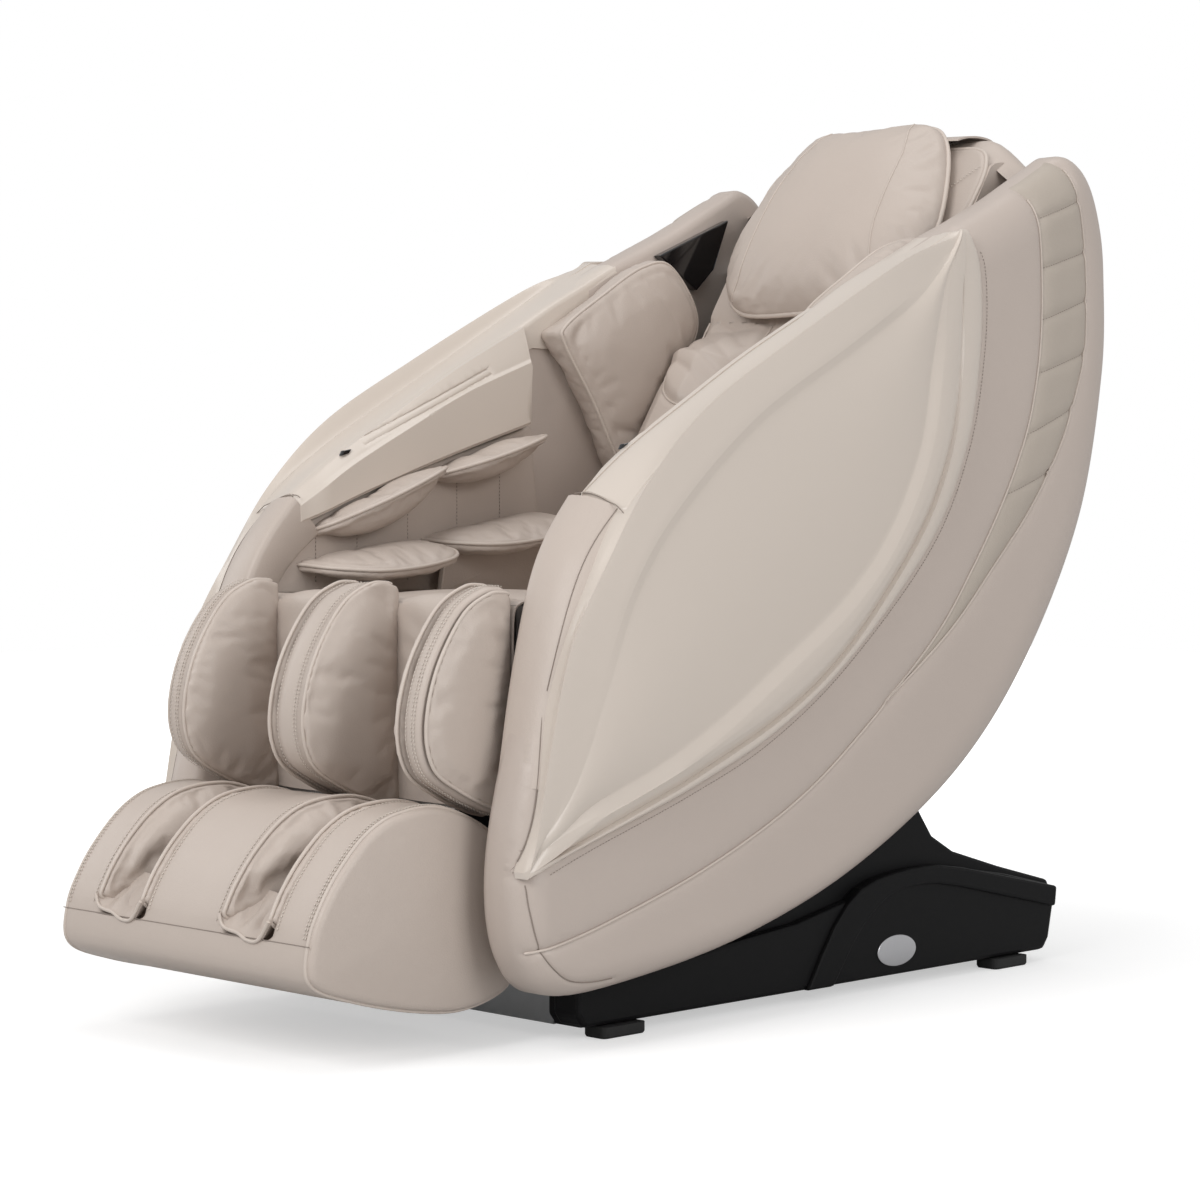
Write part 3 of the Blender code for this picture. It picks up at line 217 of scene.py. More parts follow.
def length_of(line: np.ndarray) -> float:
    """The line's length."""
    return float(np.linalg.norm(np.diff(line, axis=0), axis=1).sum())


def part_of(line: np.ndarray, start: float, end: float, count: int) -> np.ndarray:
    """A stretch of an open line between two shares of its length."""
    fine = evenly(line, 400)
    low, high = int(start * 399), max(int(end * 399), int(start * 399) + 1)
    return evenly(fine[low:high + 1], count)


def moved(line: np.ndarray, depth: float, closed: bool = False) -> np.ndarray:
    """A flat line moved to its left by a depth."""
    if closed:
        tangent = np.roll(line, -1, axis=0) - np.roll(line, 1, axis=0)
    else:
        tangent = np.gradient(line, axis=0)
    tangent /= np.maximum(np.linalg.norm(tangent, axis=1, keepdims=True), 1e-9)
    return line + np.stack([-tangent[:, 1], tangent[:, 0]], axis=1) * depth


def anticlockwise(line: np.ndarray) -> np.ndarray:
    """The closed flat line, turned so that it runs anticlockwise."""
    other = np.roll(line, -1, axis=0)
    area = float((line[:, 0] * other[:, 1] - other[:, 0] * line[:, 1]).sum())
    return line if area > 0 else line[::-1].copy()


def distance_to(points: np.ndarray, line: np.ndarray, closed: bool = False) -> np.ndarray:
    """How far flat points are from a line.

    Args:
        points: Flat points, one row each.
        line: The line's points.
        closed: Whether the line is a loop.

    Returns:
        The distance of each point, positive on the line's left.
    """
    run = np.vstack([line, line[:1]]) if closed else line
    best = np.full(len(points), 1e9)
    side = np.ones(len(points))
    for start, end in zip(run, run[1:]):
        span = end - start
        size = float(span @ span)
        if size < 1e-14:
            continue
        t = np.clip((points - start) @ span / size, 0.0, 1.0)
        gap = points - start - t[:, None] * span
        dist = np.linalg.norm(gap, axis=1)
        near = dist < best
        best[near] = dist[near]
        side[near] = np.where(span[0] * gap[near, 1] - span[1] * gap[near, 0] >= 0, 1.0, -1.0)
    return best * side


def within(points: np.ndarray, loop: np.ndarray) -> np.ndarray:
    """Whether each flat point lies inside a closed loop."""
    inside = np.zeros(len(points), dtype=bool)
    other = np.roll(loop, 1, axis=0)
    for (ax, ay), (bx, by) in zip(loop, other):
        if ay == by:
            continue
        cross = ((ay > points[:, 1]) != (by > points[:, 1])) \
            & (points[:, 0] < (bx - ax) * (points[:, 1] - ay) / (by - ay) + ax)
        inside ^= cross
    return inside


def bump(distance: np.ndarray, width: float) -> np.ndarray:
    """A bell of height one and the given half width."""
    return np.exp(-(distance / width) ** 2)


def ramp(value: np.ndarray, low: float, high: float) -> np.ndarray:
    """A smooth rise from zero at low to one at high."""
    t = np.clip((value - low) / (high - low), 0.0, 1.0)
    return t * t * (3 - 2 * t)


# ---- Finishes ----
class Slot(Enum):
    """The record's material slots."""

    LEATHER = "taupe_leather"
    PAINT = "taupe_paint"
    BLACK = "black_moulding"
    RUBBER = "black_rubber"
    STEEL = "grey_steel"
    CHROME = "bright_steel"
    HOUSING = "grey_housing"
    ROLLER = "roller_rubber"


class Graph:
    """A node tree, with a short way to add nodes to it."""

    def __init__(self, tree: bpy.types.NodeTree) -> None:
        """Keeps the tree."""
        self.tree = tree

    def add(self, kind: str, inputs: dict[str | int, object] | None = None, **settings: object) -> bpy.types.Node:
        """Adds a node.

        Args:
            kind: The node's type.
            inputs: For each input a value, or the socket that feeds it.
            settings: The node's own settings, made before its inputs.

        Returns:
            The node.
        """
        node = self.tree.nodes.new(kind)
        for key, value in settings.items():
            setattr(node, key, value)
        self.feed(node, inputs or {})
        return node

    def feed(self, node: bpy.types.Node, inputs: dict[str | int, object]) -> None:
        """Sets or links a node's inputs."""
        for key, value in inputs.items():
            if isinstance(value, bpy.types.NodeSocket):
                self.tree.links.new(value, node.inputs[key])
            else:
                node.inputs[key].default_value = value


@dataclass(frozen=True)
class Finish:
    """A surface: its colour, how it takes light, and its grain.

    Grain sizes are in grains to the metre; depths are in metres.
    """

    name: str
    colour: tuple[float, float, float]
    roughness: float
    metallic: float = 0.0
    specular: float = 0.5
    coat: float = 0.0
    coat_roughness: float = 0.05
    sheen: float = 0.0
    mottle: float = 0.05
    mottle_scale: float = 9.0
    grain: float = 600.0
    grain_depth: float = 0.0002
    ripple: float = 0.0
    ripple_scale: float = 25.0
    rough_spread: float = 0.06

    def material(self) -> bpy.types.Material:
        """The finish as a material, made once."""
        known = bpy.data.materials.get(self.name)
        if known is not None and known.get("dressed"):
            return known
        mat = bpy.data.materials.new(self.name)
        mat["dressed"] = True
        mat.use_nodes = True
        graph = Graph(mat.node_tree)
        where = graph.add("ShaderNodeTexCoord").outputs["Object"]

        def noise(scale: float, detail: float) -> bpy.types.NodeSocket:
            return graph.add("ShaderNodeTexNoise", {"Scale": scale, "Detail": detail, "Vector": where}).outputs["Fac"]

        tint = graph.add("ShaderNodeMix", {
            "A": (*(c * (1 - self.mottle) for c in self.colour), 1.0),
            "B": (*(min(c * (1 + self.mottle), 1.0) for c in self.colour), 1.0),
            "Factor": noise(self.mottle_scale, 4.0)}, data_type="RGBA")
        spread = graph.add("ShaderNodeMapRange", {
            "To Min": self.roughness - self.rough_spread, "To Max": self.roughness + self.rough_spread,
            "Value": noise(self.mottle_scale * 7, 3.0)})
        relief = graph.add("ShaderNodeBump", {
            "Strength": 1.0, "Distance": self.grain_depth, "Height": self.grain_node(graph, where, noise)})
        if self.ripple:
            relief = graph.add("ShaderNodeBump", {
                "Strength": 1.0, "Distance": self.ripple, "Height": noise(self.ripple_scale, 2.0),
                "Normal": relief.outputs["Normal"]})
        graph.feed(mat.node_tree.nodes["Principled BSDF"], {
            "Metallic": self.metallic, "Specular IOR Level": self.specular, "Coat Weight": self.coat,
            "Coat Roughness": self.coat_roughness, "Sheen Weight": self.sheen, "Sheen Roughness": 0.45,
            "Base Color": tint.outputs["Result"], "Roughness": spread.outputs["Result"],
            "Normal": relief.outputs["Normal"]})
        return mat

    def grain_node(self, graph: Graph, where: bpy.types.NodeSocket, noise: Noise) -> bpy.types.NodeSocket:
        """The height of the fine grain: plain speckle."""
        return noise(self.grain, 2.0)


@dataclass(frozen=True)
class Leather(Finish):
    """Coated leather with small rounded pebbles."""

    def grain_node(self, graph: Graph, where: bpy.types.NodeSocket, noise: Noise) -> bpy.types.NodeSocket:
        """The height of the fine grain: pebbles with creases between them."""
        cells = graph.add("ShaderNodeTexVoronoi", {"Scale": self.grain, "Smoothness": 0.5, "Vector": where},
                          feature="SMOOTH_F1")
        return graph.add("ShaderNodeMath", {0: cells.outputs["Distance"], 1: -0.8,
                                            2: noise(self.grain * 0.35, 3.0)},
                         operation="MULTIPLY_ADD").outputs["Value"]


LEATHER = Leather("chair_leather", (0.500, 0.428, 0.378), 0.44, specular=0.42, mottle=0.035, mottle_scale=7.0,
                  grain=520.0, grain_depth=0.00016, ripple=0.0012, ripple_scale=16.0, rough_spread=0.05)
SIDE_LEATHER = Leather("side_leather", (0.490, 0.420, 0.374), 0.42, specular=0.42, mottle=0.03, mottle_scale=5.0,
                       grain=520.0, grain_depth=0.00012, ripple=0.0006, ripple_scale=9.0, rough_spread=0.04)
QUILT_LEATHER = Leather("quilted_leather", (0.430, 0.375, 0.322), 0.50, specular=0.38, mottle=0.03,
                        grain=520.0, grain_depth=0.00018, ripple=0.0008, ripple_scale=22.0)
PIPING = Leather("piping_leather", (0.560, 0.486, 0.430), 0.40, specular=0.45, mottle=0.04, grain=700.0,
                 grain_depth=0.0001)
THREAD = Finish("sewing_thread", (0.60, 0.54, 0.48), 0.70, mottle=0.08, mottle_scale=60.0, grain=1800.0,
                grain_depth=0.0001)
# Painted seam shade: the thin dark cords laid in seam gaps and grooves stand in for the shade there, and stitch rows
# that take this colour are darkened with the same painted seam shade.
SEAM_SHADE_THREAD = Finish("shadow_thread", (0.26, 0.215, 0.185), 0.75, mottle=0.08, mottle_scale=60.0, grain=1800.0,
                     grain_depth=0.0001)
PAINT = Finish("satin_paint", (0.600, 0.530, 0.468), 0.30, specular=0.45, coat=0.20, coat_roughness=0.20,
               mottle=0.008, mottle_scale=3.0, grain=240.0, grain_depth=0.000006, rough_spread=0.015)
MOULDING = Finish("black_moulded", (0.0046, 0.0046, 0.0050), 0.50, specular=0.15, mottle=0.10, mottle_scale=30.0,
                  grain=1500.0, grain_depth=0.00009, rough_spread=0.05)
SPEAKER = Finish("speaker_gloss", (0.004, 0.004, 0.005), 0.10, specular=0.5, coat=0.5, coat_roughness=0.04,
                 mottle=0.05, grain=300.0, grain_depth=0.00001, rough_spread=0.02)
RUBBER = Finish("black_rubber_feet", (0.018, 0.018, 0.018), 0.82, mottle=0.15, mottle_scale=40.0, grain=900.0,
                grain_depth=0.00015)
STEEL = Finish("zinc_steel", (0.42, 0.43, 0.44), 0.38, metallic=1.0, mottle=0.10, mottle_scale=35.0, grain=700.0,
               grain_depth=0.00005, rough_spread=0.08)
CHROME = Finish("polished_steel", (0.72, 0.73, 0.74), 0.14, metallic=1.0, mottle=0.03, mottle_scale=50.0,
                grain=900.0, grain_depth=0.00001, rough_spread=0.04)
HOUSING = Finish("moulded_housing", (0.13, 0.13, 0.14), 0.52, mottle=0.08, mottle_scale=25.0, grain=1200.0,
                 grain_depth=0.0001)
TYRE = Finish("roller_tyre", (0.075, 0.075, 0.08), 0.66, mottle=0.12, mottle_scale=45.0, grain=1000.0,
              grain_depth=0.00012)
BADGE = Finish("plain_badge", (0.62, 0.62, 0.64), 0.25, metallic=1.0, mottle=0.03, grain=1600.0,
               grain_depth=0.00002)


# ---- Meshes ----
def laid(line: np.ndarray, x: float | np.ndarray) -> list[Vector]:
    """A line of the side view in space, at one x or at one for each point."""
    return [at(*spot) for spot in zip(np.broadcast_to(x, len(line)), line[:, 0], line[:, 1])]


def drawn(line: np.ndarray, x: float | np.ndarray) -> np.ndarray:
    """As laid, in rows of three numbers."""
    return np.array([tuple(spot) for spot in laid(line, x)])


def rim_of(grid: Sequence[list[int]]) -> list[int]:
    """The corners round a grid of them."""
    return grid[0] + [row[-1] for row in grid[1:]] + grid[-1][-2::-1] + [row[0] for row in grid[-2:0:-1]]


@dataclass
class Form:
    """A mesh in the making: corners, faces, and for each face the number of its finish."""

    corners: list[Vector] = field(default_factory=list)
    faces: list[tuple[int, ...]] = field(default_factory=list)
    marks: list[int] = field(default_factory=list)

    def put(self, ring: Iterable[Vector]) -> list[int]:
        """Adds corners and gives their numbers."""
        start = len(self.corners)
        self.corners.extend(Vector(p) for p in ring)
        return list(range(start, len(self.corners)))

    def face(self, corners: Sequence[int], mark: int = 0) -> None:
        """Adds a face on corners that are there."""
        self.faces.append(tuple(corners))
        self.marks.append(mark)

    def skin(self, rows: Sequence[Sequence[int]], closed: bool = True) -> None:
        """Joins rows of corners by faces.

        Args:
            rows: Rows of the same length, as numbers of corners.
            closed: Whether each row is a loop.
        """
        for low, high in zip(rows, rows[1:]):
            count = len(low)
            for i in range(count if closed else count - 1):
                j = (i + 1) % count
                self.face((low[i], low[j], high[j], high[i]))

    def tube(self, rows: Sequence[Sequence[int]]) -> "Form":
        """Joins loops and closes both ends."""
        self.skin(rows)
        self.face(rows[0])
        self.face(rows[-1])
        return self

    def shell(self, rows: Sequence[Sequence[int]]) -> "Form":
        """Joins lines into a band that closes on itself, and closes its two ends."""
        self.skin(rows, False)
        self.skin([rows[-1], rows[0]], False)
        self.face([row[0] for row in rows])
        self.face([row[-1] for row in reversed(rows)])
        return self

    def fan(self, ring: Sequence[int]) -> None:
        """Closes a loop with a middle corner."""
        middle = sum((self.corners[i] for i in ring), Vector()) / len(ring)
        hub = self.put([middle])[0]
        for i in range(len(ring)):
            self.face((ring[i], ring[(i + 1) % len(ring)], hub))

    def mirrored(self) -> "Form":
        """The other hand."""
        return Form([Vector((-p.x, p.y, p.z)) for p in self.corners], [tuple(reversed(f)) for f in self.faces],
                    list(self.marks))

    def piece(self, name: str, finishes: Sequence[Finish], angle: float = 50.0) -> bpy.types.Object:
        """The mesh as an object.

        Args:
            name: The object's name.
            finishes: One finish for each number in marks.
            angle: Edges sharper than this, in degrees, stay crisp.

        Returns:
            The object, at the origin.
        """
        bm = bmesh.new()
        corners = [bm.verts.new(p) for p in self.corners]
        for face, mark in zip(self.faces, self.marks):
            try:
                made = bm.faces.new([corners[i] for i in face])
            except ValueError:
                continue
            made.material_index = mark
        bmesh.ops.remove_doubles(bm, verts=bm.verts, dist=0.00002)
        loose = [v for v in bm.verts if not v.link_faces]
        bmesh.ops.delete(bm, geom=loose, context="VERTS")
        bmesh.ops.recalc_face_normals(bm, faces=bm.faces)
        mesh = bpy.data.meshes.new(name)
        bm.to_mesh(mesh)
        bm.free()
        return as_piece(name, mesh, finishes, angle)


def as_piece(name: str, mesh: bpy.types.Mesh, finishes: Sequence[Finish], angle: float = 50.0) -> bpy.types.Object:
    """A mesh as a smooth-shaded object with its finishes."""
    for finish in finishes:
        mesh.materials.append(finish.material())
    mesh.shade_smooth()
    mesh.set_sharp_from_angle(angle=math.radians(angle))
    obj = bpy.data.objects.new(name, mesh)
    bpy.context.scene.collection.objects.link(obj)
    return obj


def both_hands(form: Form, name: str, finishes: Sequence[Finish], body: str, nodes: Sequence[str] = (),
               slot: Slot = Slot.LEATHER, angle: float = 50.0) -> None:
    """Makes a left piece and its right twin, each standing for its own nodes.

    Args:
        form: The left piece, at positive x.
        name: The pieces' name without its hand.
        finishes: The finishes.
        body: The body that both ride on.
        nodes: Node names without their hand.
        slot: The record's slot.
        angle: Edges sharper than this stay crisp.
    """
    for hand, shape in (("left", form), ("right", form.mirrored())):
        obj = shape.piece("{}_{}".format(name, hand), finishes, angle)
        settle(obj, body, slot, ["{}_{}".format(node, hand) for node in nodes])


def settle(obj: bpy.types.Object, body: str, slot: Slot, nodes: Sequence[str] = ()) -> bpy.types.Object:
    """Puts a finished piece on its body and names its slot and the nodes that it stands for."""
    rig.ride(obj, body)
    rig.slot(obj, slot.value)
    if nodes:
        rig.replaces(obj, *nodes)
    return obj


def mirror_lines(lines: Sequence[np.ndarray]) -> list[np.ndarray]:
    """Lines of three numbers, turned over in the middle plane."""
    return [line * np.array([-1.0, 1.0, 1.0]) for line in lines]


HANDS = (("left", list), ("right", mirror_lines))


def baked(obj: bpy.types.Object) -> bpy.types.Mesh:
    """Turns what a piece's modifiers make into its own plain mesh."""
    bpy.context.view_layer.update()
    mesh = bpy.data.meshes.new_from_object(obj.evaluated_get(bpy.context.evaluated_depsgraph_get()))
    obj.modifiers.clear()
    obj.data = mesh
    return mesh


# ---- Sewing: piping and stitches along lines ----
class Sewing:
    """Geometry Nodes that lay piping and stitches along lines."""

    def __init__(self) -> None:
        """Makes the two trees."""
        self.cord_tree = self.make_cord_tree()
        self.stitch_tree = self.make_stitch_tree()

    @staticmethod
    def new_tree(name: str, sizes: dict[str, float]) -> bpy.types.NodeTree:
        """A tree with a geometry in and out, and a named input for each size."""
        tree = bpy.data.node_groups.new(name, "GeometryNodeTree")
        tree.interface.new_socket("Geometry", in_out="INPUT", socket_type="NodeSocketGeometry")
        for label, value in sizes.items():
            socket = tree.interface.new_socket(label, in_out="INPUT", socket_type="NodeSocketFloat")
            socket.default_value = value
        tree.interface.new_socket("Finish", in_out="INPUT", socket_type="NodeSocketMaterial")
        tree.interface.new_socket("Geometry", in_out="OUTPUT", socket_type="NodeSocketGeometry")
        return tree

    @staticmethod
    def finished(graph: Graph, shape: bpy.types.NodeSocket, finish: bpy.types.NodeSocket) -> bpy.types.NodeTree:
        """Ends a tree: its shape is smoothed, made real and painted."""
        smooth = graph.add("GeometryNodeSetShadeSmooth", {"Geometry": shape})
        realize = graph.add("GeometryNodeRealizeInstances", {0: smooth.outputs[0]})
        paint = graph.add("GeometryNodeSetMaterial", {"Geometry": realize.outputs[0], "Material": finish})
        graph.add("NodeGroupOutput", {0: paint.outputs[0]})
        return graph.tree

    def make_cord_tree(self) -> bpy.types.NodeTree:
        """Piping: a round cord whose thickness wavers a little, as covered cord does."""
        graph = Graph(self.new_tree("piping_cord", {"Radius": 0.0025, "Step": 0.006, "Waver": 0.05}))
        into = graph.add("NodeGroupInput").outputs
        curve = graph.add("GeometryNodeMeshToCurve", {0: into["Geometry"]})
        spaced = graph.add("GeometryNodeResampleCurve", {"Curve": curve.outputs[0], "Length": into["Step"]},
                           mode="LENGTH")
        low = graph.add("ShaderNodeMath", {0: 1.0, 1: into["Waver"]}, operation="SUBTRACT")
        waver = graph.add("FunctionNodeRandomValue", {2: low.outputs[0], 3: 1.0, "Seed": 7}, data_type="FLOAT")
        radius = graph.add("GeometryNodeSetCurveRadius", {"Curve": spaced.outputs[0], "Radius": waver.outputs[1]})
        circle = graph.add("GeometryNodeCurvePrimitiveCircle", {"Resolution": 8, "Radius": into["Radius"]})
        tube = graph.add("GeometryNodeCurveToMesh", {
            "Curve": radius.outputs[0], "Profile Curve": circle.outputs[0], "Fill Caps": True})
        if tube.inputs.get("Scale") is not None:
            graph.feed(tube, {"Scale": waver.outputs[1]})
        return self.finished(graph, tube.outputs[0], into["Finish"])

    def make_stitch_tree(self) -> bpy.types.NodeTree:
        """Stitches: short rounded grains of thread at an even pitch, each lying along the line."""
        graph = Graph(self.new_tree("stitch_row", {"Pitch": 0.005, "Length": 0.0036, "Radius": 0.0005}))
        into = graph.add("NodeGroupInput").outputs
        curve = graph.add("GeometryNodeMeshToCurve", {0: into["Geometry"]})
        spaced = graph.add("GeometryNodeResampleCurve", {"Curve": curve.outputs[0], "Length": into["Pitch"]},
                           mode="LENGTH")
        grain = graph.add("GeometryNodeMeshUVSphere", {"Segments": 6, "Rings": 4, "Radius": 1.0})
        tangent = graph.add("GeometryNodeInputTangent")
        turn = graph.add("FunctionNodeAlignRotationToVector", {"Vector": tangent.outputs[0]}, axis="X")
        half = graph.add("ShaderNodeMath", {0: into["Length"], 1: 0.5}, operation="MULTIPLY")
        vary = graph.add("FunctionNodeRandomValue", {2: 0.92, 3: 1.05, "Seed": 3}, data_type="FLOAT")
        length = graph.add("ShaderNodeMath", {0: half.outputs[0], 1: vary.outputs[1]}, operation="MULTIPLY")
        sizes = graph.add("ShaderNodeCombineXYZ", {0: length.outputs[0], 1: into["Radius"], 2: into["Radius"]})
        place = graph.add("GeometryNodeInstanceOnPoints", {
            "Points": spaced.outputs[0], "Instance": grain.outputs["Mesh"], "Rotation": turn.outputs[0],
            "Scale": sizes.outputs[0]})
        return self.finished(graph, place.outputs[0], into["Finish"])

    def along(self, name: str, tree: bpy.types.NodeTree, lines: Sequence[np.ndarray], sizes: dict[str, float],
              finish: Finish, body: str, closed: bool = False) -> bpy.types.Object:
        """Runs a tree along lines and keeps the plain mesh.

        Args:
            name: The piece's name.
            tree: The tree.
            lines: Lines of three numbers a point.
            sizes: Values of the tree's named inputs.
            finish: The finish.
            body: The body that the piece rides on.
            closed: Whether the lines are loops.

        Returns:
            The piece.
        """
        guide = bpy.data.meshes.new(name + "_line")
        points: list[tuple[float, float, float]] = []
        edges: list[tuple[int, int]] = []
        for line in lines:
            start = len(points)
            points.extend(tuple(float(c) for c in p) for p in line)
            edges.extend((start + i, start + i + 1) for i in range(len(line) - 1))
            if closed:
                edges.append((len(points) - 1, start))
        guide.from_pydata(points, edges, [])
        obj = bpy.data.objects.new(name, guide)
        bpy.context.scene.collection.objects.link(obj)
        mod = obj.modifiers.new("sewing", "NODES")
        mod.node_group = tree
        for item in tree.interface.items_tree:
            if item.item_type == "SOCKET" and item.in_out == "INPUT":
                if item.name in sizes:
                    mod[item.identifier] = float(sizes[item.name])
                elif item.name == "Finish":
                    mod[item.identifier] = finish.material()
        baked(obj).name = name
        return settle(obj, body, Slot.LEATHER)

    def piping(self, name: str, lines: Sequence[np.ndarray], radius: float, body: str, closed: bool = False,
               finish: Finish = PIPING) -> bpy.types.Object:
        """A covered cord along lines."""
        return self.along(name, self.cord_tree, lines, {"Radius": radius, "Step": 0.005, "Waver": 0.05}, finish,
                          body, closed)

    def stitches(self, name: str, lines: Sequence[np.ndarray], body: str, radius: float = 0.00055,
                 finish: Finish = THREAD, closed: bool = False) -> bpy.types.Object:
        """A row of stitches along lines."""
        return self.along(name, self.stitch_tree, lines, {"Pitch": 0.0052, "Length": 0.0038, "Radius": radius},
                          finish, body, closed)


# ---- A sheet in relief over an outline ----
@dataclass
class Relief:
    """A sheet over a flat outline, finely divided beside its lines.

    outline is a closed loop, lines are open lines, coarse is the distance between corners away from them, offsets
    are the rows beside each line, and rim the rows inside the outline.
    """

    outline: np.ndarray
    lines: list[np.ndarray]
    coarse: float = 0.010
    offsets: tuple[float, ...] = (0.0, 0.0013, -0.0013, 0.003, -0.003, 0.0055, -0.0055)
    rim: tuple[float, ...] = (0.0006, 0.0022, 0.005, 0.009, 0.0145, 0.0215, 0.030, 0.039)
    margin: float = 0.0075

    def corners(self) -> np.ndarray:
        """The corners: the outline first, then rows beside the lines, then an even spread."""
        groups = []
        for line in self.lines:
            even = evenly(line, max(int(length_of(line) / 0.0045), 8))
            groups.extend(moved(even, depth) for depth in self.offsets)
        groups.extend(moved(self.outline, depth, True) for depth in self.rim)
        low, high = self.outline.min(axis=0), self.outline.max(axis=0)
        step = self.coarse
        spread = np.array([(low[0] + step * (i + 0.5 * (j % 2)), low[1] + 0.866 * step * j)
                           for j in range(int((high[1] - low[1]) / step / 0.866) + 2)
                           for i in range(int((high[0] - low[0]) / step) + 2)])
        far = np.abs(distance_to(spread, self.outline, True)) > self.rim[-1] + 0.003
        for line in self.lines:
            far &= np.abs(distance_to(spread, line)) > self.margin
        groups.append(spread[far])
        kept = [self.outline]
        taken = {tuple(cell) for cell in np.round(self.outline / 0.0011).astype(int)}
        for group in groups:
            group = group[within(group, self.outline)]
            fresh = []
            for point, cell in zip(group, np.round(group / 0.0011).astype(int)):
                if tuple(cell) not in taken:
                    taken.add(tuple(cell))
                    fresh.append(point)
            if fresh:
                kept.append(np.array(fresh))
        return np.vstack(kept)

    def sheet(self) -> tuple[np.ndarray, list[tuple[int, ...]]]:
        """The flat corners and the triangles between them."""
        points = self.corners()
        count = len(self.outline)
        edges = [(i, (i + 1) % count) for i in range(count)]
        result = geometry.delaunay_2d_cdt([Vector(p) for p in points], edges, [], 0, 1e-7)
        verts, faces = np.array([tuple(v) for v in result[0]]), result[2]
        middles = np.array([verts[list(face)].mean(axis=0) for face in faces])
        good = within(middles, self.outline)
        return verts, [tuple(face) for face, keep in zip(faces, good) if keep]


# ---- Padded forms ----
@dataclass
class Pad:
    """A stuffed form over a flat outline, crowned on both faces.

    outline is a closed flat loop, low and high are the heights of its two faces at the edge, crown is how far each
    face swells (low side, high side), round_off is how far the edge is drawn in, and place puts it in space.
    """

    outline: np.ndarray
    low: float
    high: float
    crown: tuple[float, float]
    round_off: float
    place: Place
    around: int = 150
    middle: Pair | None = None

    def rings(self) -> list[list[Vector]]:
        """The rings of corners from the middle of one face, round the edge, to the middle of the other."""
        base = anticlockwise(evenly(self.outline, self.around, True))
        centre = np.array(self.middle) if self.middle else base.mean(axis=0)
        thick = self.high - self.low
        edge = ((0.0, 1.0), (0.06, 0.62), (0.16, 0.30), (0.30, 0.08), (0.50, 0.0), (0.70, 0.08), (0.84, 0.30),
                (0.94, 0.62), (1.0, 1.0))
        flat = (0.03, 0.12, 0.22, 0.32, 0.42, 0.52, 0.62, 0.72, 0.81, 0.89, 0.95, 0.985)
        inner = moved(base, self.round_off, True)
        made = []
        for scale in flat:
            lift = self.crown[0] * (1 - scale ** 2.2)
            made.append((centre + (inner - centre) * scale, self.low - lift))
        for share, depth in edge:
            made.append((moved(base, self.round_off * depth, True), self.low + thick * share))
        for scale in reversed(flat):
            lift = self.crown[1] * (1 - scale ** 2.2)
            made.append((centre + (inner - centre) * scale, self.high + lift))
        return [[self.place(u, v, height) for u, v in ring] for ring, height in made]

    def form(self) -> Form:
        """The pad's mesh."""
        form = Form()
        rows = [form.put(ring) for ring in self.rings()]
        form.skin(rows)
        form.fan(rows[0])
        form.fan(rows[-1])
        return form

    def edge_line(self, share: float = 0.5, proud: float = 0.0, count: int = 120) -> np.ndarray:
        """The loop round the pad at a share of its thickness, stood off by a distance."""
        base = anticlockwise(evenly(self.outline, count, True))
        depth = self.round_off * abs(2 * share - 1) ** 2.2
        loop = moved(base, depth - proud, True)
        height = self.low + (self.high - self.low) * share
        return np.array([tuple(self.place(u, v, height)) for u, v in loop])


@dataclass
class Swelling:
    """Air let into a closed leather form: a short cloth simulation whose result is kept as a plain mesh.

    voxel is the size of the remeshed cells, pressure the air's, cap the most that a corner may move, and hold the
    distance from a seam within which corners stay put.
    """

    voxel: float = 0.006
    pressure: float = 4.0
    cap: float = 0.012
    hold: float = 0.008
    frames: int = 20
    slack: float = 0.0

    def apply(self, obj: bpy.types.Object, seams: Sequence[np.ndarray], held: Callable[[np.ndarray], np.ndarray]
              | None = None) -> None:
        """Swells a form between its seams.

        Args:
            obj: The form, not yet on a body.
            seams: Lines of three numbers a point that stay where they are.
            held: Says which corners rest against something.
        """
        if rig.quick():
            return
        remesh = obj.modifiers.new("cells", "REMESH")
        remesh.mode = "VOXEL"
        remesh.voxel_size = self.voxel
        materials = list(obj.data.materials)
        mesh = baked(obj)
        mesh.materials.clear()
        for mat in materials:
            mesh.materials.append(mat)
        start = coordinates(mesh)
        pin = near_lines(start, seams, self.hold)
        if held is not None:
            pin |= held(start)
        group = obj.vertex_groups.new(name="seams")
        group.add([int(i) for i in np.nonzero(pin)[0]], 1.0, "REPLACE")
        cloth = obj.modifiers.new("air", "CLOTH")
        for key, value in (("quality", 4), ("mass", 0.25), ("tension_stiffness", 12), ("compression_stiffness", 12),
                           ("shear_stiffness", 6), ("bending_stiffness", 0.6), ("use_pressure", True),
                           ("uniform_pressure_force", self.pressure), ("vertex_group_mass", "seams"),
                           ("pin_stiffness", 2.0), ("shrink_min", -self.slack)):
            setattr(cloth.settings, key, value)
        cloth.settings.effector_weights.gravity = 0.0
        cloth.point_cache.frame_start = 1
        cloth.point_cache.frame_end = self.frames
        for number in range(1, self.frames + 1):
            bpy.context.scene.frame_set(number)
        moved_to = coordinates(obj.evaluated_get(bpy.context.evaluated_depsgraph_get()).data)
        shift = moved_to - start
        size = np.linalg.norm(shift, axis=1, keepdims=True)
        shift *= np.minimum(1.0, self.cap / np.maximum(size, 1e-9))
        obj.modifiers.clear()
        obj.vertex_groups.clear()
        obj.data.vertices.foreach_set("co", (start + shift).astype(np.float32).ravel())
        obj.data.update()
        smooth = obj.modifiers.new("ease", "SMOOTH")
        smooth.factor = 0.5
        smooth.iterations = 2
        fine = obj.modifiers.new("fine", "SUBSURF")
        fine.levels = fine.render_levels = 1
        baked(obj).shade_smooth()
        bpy.context.scene.frame_set(1)


